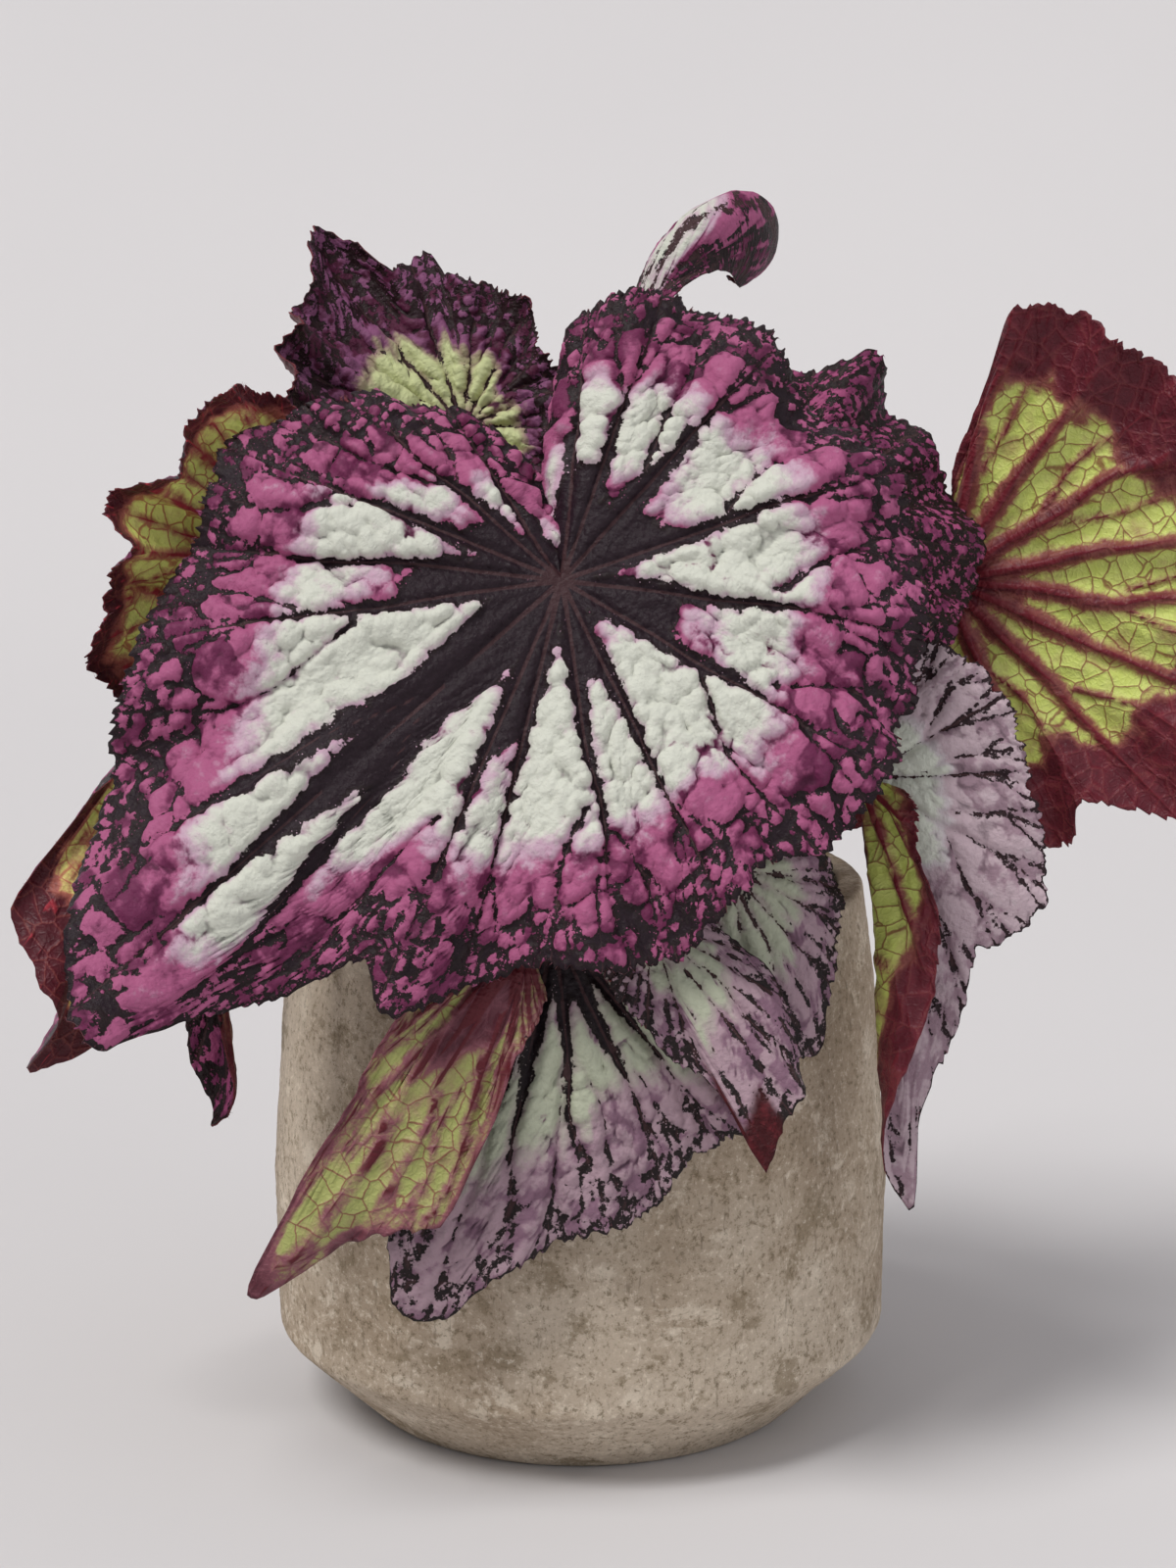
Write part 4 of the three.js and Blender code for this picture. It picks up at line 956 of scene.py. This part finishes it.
def stalk_route(points):
    """Points and shares along the smooth curve through the given points (centripetal, as in the solids)."""
    p = np.array(points, float)
    p = np.concatenate([[2 * p[0] - p[1]], p, [2 * p[-1] - p[-2]]])
    route = []
    for k in range(1, len(p) - 2):
        p0, p1, p2, p3 = p[k - 1:k + 3]
        t0, t1, t2 = (np.linalg.norm(b - a) ** 0.5 for a, b in ((p0, p1), (p1, p2), (p2, p3)))
        m1 = ((p1 - p0) / t0 - (p2 - p0) / (t0 + t1) + (p2 - p1) / t1) * t1
        m2 = ((p2 - p1) / t1 - (p3 - p1) / (t1 + t2) + (p3 - p2) / t2) * t1
        t = np.linspace(0, 1, SPAN_STEPS, endpoint=False)[:, None]
        cubic, square = 2 * p1 - 2 * p2 + m1 + m2, -3 * p1 + 3 * p2 - 2 * m1 - m2
        route.append(cubic * t ** 3 + square * t ** 2 + m1 * t + p1)
    route = np.concatenate(route + [p[-2:-1]])
    travelled = np.concatenate([[0], np.cumsum(np.linalg.norm(np.diff(route, axis=0), axis=1))])
    return route, travelled / travelled[-1]


def tube(route, radii):
    """Closed tube along a route, with its sections' normals."""
    ahead = np.gradient(route, axis=0)
    ahead /= np.linalg.norm(ahead, axis=1, keepdims=True)
    across = np.cross(ahead[0], (0.3, 0.9, 0.1))
    rows, outward = [], []
    for centre, direction, radius in zip(route, ahead, radii):
        across = across - direction * across.dot(direction)
        across /= np.linalg.norm(across)
        other = np.cross(direction, across)
        angle = 2 * np.pi * np.arange(STALK_SIDES) / STALK_SIDES
        ring = np.cos(angle)[:, None] * across + np.sin(angle)[:, None] * other
        outward.append(ring)
        rows.append(centre + ring * radius)
    points = np.concatenate(rows + [route[:1], route[-1:]])
    first, last = len(points) - 2, len(points) - 1
    faces = []
    for k in range(STALK_SIDES):
        n = (k + 1) % STALK_SIDES
        for r in range(0, first - STALK_SIDES, STALK_SIDES):
            a, b = r + k, r + n
            faces += [(a, b, b + STALK_SIDES), (a, b + STALK_SIDES, a + STALK_SIDES)]
        faces += [(first, n, k), (last, first - STALK_SIDES + k, first - STALK_SIDES + n)]
    return points, np.array(faces), np.concatenate(outward)


def spikes(roots, directions, lengths):
    """Closed three-sided hairs, one for each root."""
    directions = directions / np.linalg.norm(directions, axis=1, keepdims=True)
    helper = np.where(np.abs(directions[:, 2:]) < 0.8, [[0, 0, 1.0]], [[1.0, 0, 0]])
    a = np.cross(directions, helper)
    a /= np.linalg.norm(a, axis=1, keepdims=True)
    b = np.cross(directions, a)
    ring = []
    for k in range(3):
        angle = 2 * math.pi * k / 3
        ring.append(roots + (math.cos(angle) * a + math.sin(angle) * b) * HAIR_WIDTH)
    tips = roots + directions * lengths[:, None]
    points = np.stack(ring + [tips], 1).reshape(-1, 3)
    start = 4 * np.arange(len(roots))[:, None]
    pattern = np.array([[0, 1, 3], [1, 2, 3], [2, 0, 3], [0, 2, 1]])
    return points, (start[:, :, None] + pattern[None]).reshape(-1, 3)


def join(parts):
    """Several (points, faces) as one."""
    points, faces, total = [], [], 0
    for part_points, part_faces in parts:
        points.append(part_points)
        faces.append(np.asarray(part_faces) + total)
        total += len(part_points)
    return np.concatenate(points), np.concatenate(faces)


def turned(profile, segments):
    """Closed body turned about Z from [radius, height] points that start and end on the axis."""
    profile = np.array(profile, float)
    angle = 2 * np.pi * np.arange(segments) / segments
    inner = profile[1:-1]
    x = inner[:, 0][:, None] * np.cos(angle)
    y = inner[:, 0][:, None] * np.sin(angle)
    z = np.broadcast_to(inner[:, 1][:, None], x.shape)
    poles = [(0, 0, profile[0, 1]), (0, 0, profile[-1, 1])]
    points = np.concatenate([np.stack([x, y, z], 2).reshape(-1, 3), poles])
    k = np.arange(segments)
    n = (k + 1) % segments
    faces = []
    for r in range(len(inner) - 1):
        a, b = r * segments, (r + 1) * segments
        faces.append(np.stack([a + k, a + n, b + n], 1))
        faces.append(np.stack([a + k, b + n, b + k], 1))
    first, last = len(points) - 2, len(points) - 1
    top = (len(inner) - 1) * segments
    faces.append(np.stack([0 * k + first, n, k], 1))
    faces.append(np.stack([0 * k + last, top + k, top + n], 1))
    return points, np.concatenate(faces)


def fine_profile(profile, spacing, rounding=0.0):
    """The same profile with its corners cut round and its sides split into short steps."""
    points = [np.array(p, float) for p in profile]
    if rounding:
        rounded = [points[0]]
        for before, corner, after in zip(points, points[1:], points[2:]):
            cut = min(rounding, 0.45 * np.linalg.norm(corner - before), 0.45 * np.linalg.norm(after - corner))
            start = corner + (before - corner) / np.linalg.norm(before - corner) * cut
            end = corner + (after - corner) / np.linalg.norm(after - corner) * cut
            for t in np.linspace(0, 1, 5):
                rounded.append((1 - t) ** 2 * start + 2 * t * (1 - t) * corner + t * t * end)
        points = rounded + [points[-1]]
    fine = [points[0]]
    for a, b in zip(points, points[1:]):
        steps = max(1, int(round(np.linalg.norm(b - a) / spacing)))
        fine += [a + (b - a) * k / steps for k in range(1, steps + 1)]
    return fine


# ---- build: pots and soil -------------------------------------------------------------------------------

def build_pot(material):
    inner_rim = RIM_RADIUS - POT_WALL
    inner_belly = BELLY_RADIUS - POT_WALL - 1
    outside = fine_profile([
        (0, 0), (FOOT_RADIUS, 0), (CHAMFER_RADIUS, CHAMFER_TOP), (BELLY_RADIUS, BELLY_HEIGHT),
        (SHOULDER_RADIUS, SHOULDER_HEIGHT), (RIM_RADIUS, RIM_HEIGHT), (RIM_RADIUS - POT_WALL / 2, RIM_HEIGHT),
    ], 1.15, 1.6)
    inside = fine_profile([
        (RIM_RADIUS - POT_WALL / 2, RIM_HEIGHT), (inner_rim, RIM_HEIGHT), (inner_rim + 2.5, SHOULDER_HEIGHT),
        (inner_belly, BELLY_HEIGHT), (inner_belly - 2, CHAMFER_TOP + 4), (FOOT_RADIUS - 1, POT_FLOOR),
        (0, POT_FLOOR),
    ], 6, 1.2)
    points, faces = turned(outside + inside[1:], POT_SEGMENTS)
    angle = np.arctan2(points[:, 1], points[:, 0])
    arc, height = angle * 75, points[:, 2]
    seam = np.cos(angle)
    # the noise is taken round the circle through its cosine and sine, so that it closes
    u, v = np.cos(angle) * 60, np.sin(angle) * 60
    rough = 0.32 * layered_noise(u / 9 + height / 13, v / 9 - height / 11, 7, 4)
    rough += 0.16 * smooth_noise(u / 2.6 + height / 2.3, v / 2.6 - height / 2.9, 17)
    near, _, number = cells(arc / PIT_SPACING, height / PIT_SPACING, 23)
    near = np.where(seam < -0.995, 1, near)
    rough -= 0.35 * (number > 0.7) * np.exp(-(near * PIT_SPACING / (0.5 + 0.3 * number)) ** 2)
    normals = vertex_normals(points, faces)
    keep = step(height, 0.2, 1.5) * step(np.hypot(points[:, 0], points[:, 1]), 50, 54)
    points = points + normals * (rough * keep)[:, None]
    piece = make_mesh("stone_pot", points, faces, [material])
    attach(piece, BODY)
    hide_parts("pot")


def nursery_radius(height):
    bottom, top = POT_FLOOR + GAP, NURSERY_RIM_TOP - NURSERY_LIP_DROP
    share = (height - bottom) / (top - bottom)
    return NURSERY_FOOT_RADIUS + (NURSERY_RIM_RADIUS - NURSERY_LIP_WIDTH - NURSERY_FOOT_RADIUS) * share


def build_nursery_pot(material):
    bottom = POT_FLOOR + GAP
    lip = NURSERY_RIM_TOP - NURSERY_LIP_DROP
    floor = bottom + NURSERY_WALL
    wall_top = nursery_radius(lip)
    profile = fine_profile([
        (0, bottom), (NURSERY_FOOT_RADIUS, bottom), (wall_top, lip), (NURSERY_RIM_RADIUS, lip),
        (NURSERY_RIM_RADIUS, NURSERY_RIM_TOP), (wall_top - NURSERY_WALL, NURSERY_RIM_TOP),
        (nursery_radius(floor) - NURSERY_WALL, floor), (0, floor),
    ], 8, 0.9)
    points, faces = turned(profile, NURSERY_SEGMENTS)
    piece = make_mesh("nursery_shell", points, faces, [material])
    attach(piece, BODY)
    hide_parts("nursery_pot")


def lumps(rng, count, radius_range, size_range, height):
    """Small uneven lumps that lie on the soil, half sunk."""
    corners = np.array([(1, 0, 0), (0, 1, 0), (-1, 0, 0), (0, -1, 0), (0, 0, 1), (0, 0, -1)], float)
    ring = [(0, 1), (1, 2), (2, 3), (3, 0)]
    pattern = [(a, b, 4) for a, b in ring] + [(b, a, 5) for a, b in ring]
    edges = ring + [(k, pole) for pole in (4, 5) for k in range(4)]
    middle = {}
    vertices = list(corners)
    for a, b in edges:
        middle[frozenset((a, b))] = len(vertices)
        point = corners[a] + corners[b]
        vertices.append(point / np.linalg.norm(point))
    faces = []
    for a, b, c in pattern:
        ab, bc, ca = (middle[frozenset(pair)] for pair in ((a, b), (b, c), (c, a)))
        faces += [(a, ab, ca), (ab, b, bc), (ca, bc, c), (ab, bc, ca)]
    vertices = np.array(vertices)
    parts = []
    for _ in range(count):
        radius = math.sqrt(rng.uniform(radius_range[0] ** 2, radius_range[1] ** 2))
        angle = rng.uniform(0, 2 * math.pi)
        size = rng.uniform(*size_range)
        stretch = rng.uniform(0.6, 1.3, 3) * (1, 1, 0.75)
        rough = 1 + rng.uniform(-0.22, 0.22, len(vertices))
        turn = rng.uniform(0, 2 * math.pi)
        shape = vertices * rough[:, None] * stretch * size
        spun = np.stack([shape[:, 0] * math.cos(turn) - shape[:, 1] * math.sin(turn),
                         shape[:, 0] * math.sin(turn) + shape[:, 1] * math.cos(turn), shape[:, 2]], 1)
        centre = (radius * math.cos(angle), radius * math.sin(angle), height + 0.2 * size)
        parts.append((spun + centre, faces))
    return join(parts)


def build_soil(material, beads):
    floor = POT_FLOOR + GAP + NURSERY_WALL + GAP
    wall = nursery_radius(SOIL_TOP) - NURSERY_WALL - GAP - 0.3
    foot = nursery_radius(floor) - NURSERY_WALL - GAP - 0.3
    hole = ROOT_RADIUS + GAP
    top_rings = [(radius, SOIL_TOP) for radius in np.arange(wall - 0.8, hole + 1, -0.9)]
    profile = [(0, floor), (foot, floor), (wall, SOIL_TOP - 1.0), *top_rings, (hole, SOIL_TOP),
               (hole, SOIL_TOP - ROOT_DEPTH), (0, SOIL_TOP - ROOT_DEPTH)]
    points, faces = turned(profile, SOIL_SEGMENTS)
    radius = np.hypot(points[:, 0], points[:, 1])
    is_top = (points[:, 2] > SOIL_TOP - 0.01) & (radius > CROWN_RADIUS + 1)
    crumbs, _, number = cells(points[:, 0] / CRUMB_SIZE, points[:, 1] / CRUMB_SIZE, 61)
    rise = 1.3 * np.sin(0.41 * points[:, 0] + 1) * np.cos(0.37 * points[:, 1])
    rise += (0.9 + number) * np.clip(0.7 - crumbs, 0, 1) + 0.6 * smooth_noise(points[:, 0], points[:, 1], 62)
    points[is_top, 2] += (rise * step(radius, CROWN_RADIUS + 1, CROWN_RADIUS + 4))[is_top]
    rng = np.random.default_rng(SOIL_SEED)
    loose = lumps(rng, 260, (19, wall - 3), (0.7, 2.2), SOIL_TOP + 0.8)
    pale = lumps(rng, 45, (19, wall - 3), (0.7, 1.5), SOIL_TOP + 1.3)
    all_points, all_faces = join([(points, faces), loose, pale])
    slots = np.zeros(len(all_faces))
    slots[len(faces) + len(loose[1]):] = 1
    piece = make_mesh("potting_mix", all_points, all_faces, [material, beads], slots)
    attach(piece, BODY)
    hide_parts("soil")


# ---- build: leaves and stalks ---------------------------------------------------------------------------

def build_leaves():
    uppers = {paint: upper_material(paint) for paint in PAINTS}
    unders = {kind: under_material(kind) for kind in UNDERS}
    slots = dict.fromkeys(("leaf_left", "leaf_far_right", "leaf_low_left"), "leaf_red")
    slots.update(dict.fromkeys(("leaf_fold", "leaf_low", "leaf_low_right"), "leaf_silver"))
    hairs = []
    for k, leaf in enumerate(LEAVES):
        under = unders[leaf.get("under", "red")]
        piece, top, bottom, normals, border = make_leaf(leaf, LEAF_SEED + k, uppers[leaf["paint"]], under)
        hairs.append(margin_hairs((top + bottom) / 2, normals, border, MARGIN_SEED + k))
    return hairs


def margin_hairs(points, normals, border, seed):
    """Short hairs that stand out from the margin."""
    rng = np.random.default_rng(seed)
    edge = points[border]
    ahead = np.roll(edge, -1, axis=0) - edge
    span = np.linalg.norm(ahead, axis=1)
    outward = np.cross(ahead, normals[border])
    outward /= np.maximum(np.linalg.norm(outward, axis=1, keepdims=True), 1e-9)
    count = int(span.sum() / HAIR_SPACING)
    picked = rng.choice(len(border), count, p=span / span.sum())
    roots = edge[picked] + ahead[picked] * rng.uniform(0, 1, (count, 1))
    directions = outward[picked] + rng.normal(0, 0.35, (count, 3))
    return spikes(roots, directions, rng.uniform(0.7, 1.7, count))


def build_stalks(material, hair, hairs):
    parts = []
    for k, leaf in enumerate(LEAVES):
        rng = np.random.default_rng(STALK_SEED + k)
        _, _, normal = leaf_axes(leaf)
        side = 1 if leaf.get("stalk_above") else -1
        end = np.array(leaf["base"], float) + normal * side * 0.3
        route, share = stalk_route([STALK_START, *leaf["stalk"], end])
        radii = STALK_FOOT_RADIUS + (STALK_TIP_RADIUS - STALK_FOOT_RADIUS) * share
        radii = radii * (1 + 0.06 * np.sin(share * 23 + k)) + 0.5 * np.exp(-((1 - share) / 0.03) ** 2)
        points, faces, outward = tube(route, radii)
        parts.append((points, faces))
        count = len(route) * STALK_HAIRS
        picked = rng.integers(STALK_SIDES * 4, len(outward), count)
        directions = outward[picked] + rng.normal(0, 0.4, (count, 3))
        hairs.append(spikes(points[picked], directions, rng.uniform(0.6, 1.6, count)))
    bottom = SOIL_TOP - ROOT_DEPTH + GAP
    seat = SOIL_TOP + GAP
    crown, faces = turned(fine_profile([
        (0, bottom), (ROOT_RADIUS, bottom), (ROOT_RADIUS, seat), (CROWN_RADIUS - 1, seat),
        (CROWN_RADIUS, seat + CROWN_HEIGHT * 0.3), (CROWN_RADIUS * 0.85, seat + CROWN_HEIGHT * 0.7),
        (CROWN_RADIUS * 0.5, seat + CROWN_HEIGHT * 0.95), (0, seat + CROWN_HEIGHT),
    ], 1.5, 1.5), CROWN_SEGMENTS)
    angle = np.arctan2(crown[:, 1], crown[:, 0])
    knobs = 0.9 * np.sin(angle * 5 + crown[:, 2] * 0.5) + 0.6 * np.sin(angle * 9 - crown[:, 2] * 0.8)
    above = step(crown[:, 2], seat + 0.5, seat + 4) * step(np.hypot(crown[:, 0], crown[:, 1]), 0, 6)
    crown[:, :2] *= (1 + 0.05 * knobs * above)[:, None]
    parts.append((crown, faces))
    points, faces = join(parts)
    stalks = make_mesh("leaf_stalks", points, faces, [material])
    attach(stalks, BODY)
    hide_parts("stems")
    points, faces = join(hairs)
    fringe = make_mesh("leaf_hairs", points, faces, [hair], smooth=False)
    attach(fringe, BODY)


# ---- camera, light and floor ----------------------------------------------------------------------------

def add_light(name, place, target, size, power, colour):
    data = bpy.data.lights.new(name, "AREA")
    data.shape = "DISK"
    data.size = size
    data.energy = power
    data.color = colour
    light = bpy.data.objects.new(name, data)
    light.location = place
    light.rotation_euler = (Vector(target) - Vector(place)).to_track_quat("-Z", "Y").to_euler()
    bpy.context.scene.collection.objects.link(light)


FOCAL_PIXELS, FRAME_HEIGHT = 3560, 1600  # focal length and height of the frame, in the same pixels
CAMERA_PLACE, CAMERA_PITCH = (0.002, -0.85, 0.342), 12.2  # metres, and degrees down
FLOOR_FRONT, FLOOR_BACK, FLOOR_HALF_WIDTH = -6000, 900, 7000
COVE_RADIUS, WALL_TOP = 1500, 6000


def build_studio():
    camera_data = bpy.data.cameras.new("camera")
    camera_data.sensor_width = 36
    camera_data.lens = FOCAL_PIXELS / FRAME_HEIGHT * camera_data.sensor_width
    camera = bpy.data.objects.new("camera", camera_data)
    camera.location = CAMERA_PLACE
    camera.rotation_euler = (math.radians(90 - CAMERA_PITCH), 0, 0)
    bpy.context.scene.collection.objects.link(camera)
    bpy.context.scene.camera = camera

    add_light("fill", (0.95, -0.7, 0.6), (0, 0, 0.15), 0.9, 2, (0.97, 0.98, 1.0))
    sun = bpy.data.lights.new("key", "SUN")
    sun.energy = 2.3
    sun.color = (1.0, 0.985, 0.965)
    sun.angle = math.radians(26)
    key = bpy.data.objects.new("key", sun)
    key.rotation_euler = (Vector((0.5, 0.42, -1.0))).to_track_quat("-Z", "Y").to_euler()
    bpy.context.scene.collection.objects.link(key)
    world = bpy.data.worlds.new("studio")
    world.use_nodes = True
    background = world.node_tree.nodes["Background"]
    background.inputs["Color"].default_value = (0.98, 0.97, 1.0, 1)
    background.inputs["Strength"].default_value = 0.42
    bpy.context.scene.world = world

    s = Shader("backdrop", Specular_IOR_Level=0.1)
    soft = s.noise(s.place(), 3, 2)
    material = s.finish(s.mix(soft, "#cecccd", "#d1cfd0"), 0.95, s.bump(soft, 0.1 * MM, 0.1))
    sweep = [(FLOOR_FRONT, 0), (FLOOR_BACK, 0)]
    for t in np.linspace(0.05, math.pi / 2, 30):
        sweep.append((FLOOR_BACK + COVE_RADIUS * math.sin(t), COVE_RADIUS - COVE_RADIUS * math.cos(t)))
    sweep.append((FLOOR_BACK + COVE_RADIUS, WALL_TOP))
    points = [(x, y, z) for y, z in sweep for x in (-FLOOR_HALF_WIDTH, FLOOR_HALF_WIDTH)]
    faces = []
    for k in range(len(sweep) - 1):
        faces += [(2 * k, 2 * k + 1, 2 * k + 3), (2 * k, 2 * k + 3, 2 * k + 2)]
    make_mesh("backdrop", points, faces, [material])
    bpy.context.scene.view_settings.view_transform = "Standard"


build_studio()
build_pot(stone_material())
build_nursery_pot(nursery_material())
build_soil(soil_material(), bead_material())
leaf_fringe = build_leaves()
build_stalks(stalk_material(), hair_material(), leaf_fringe)
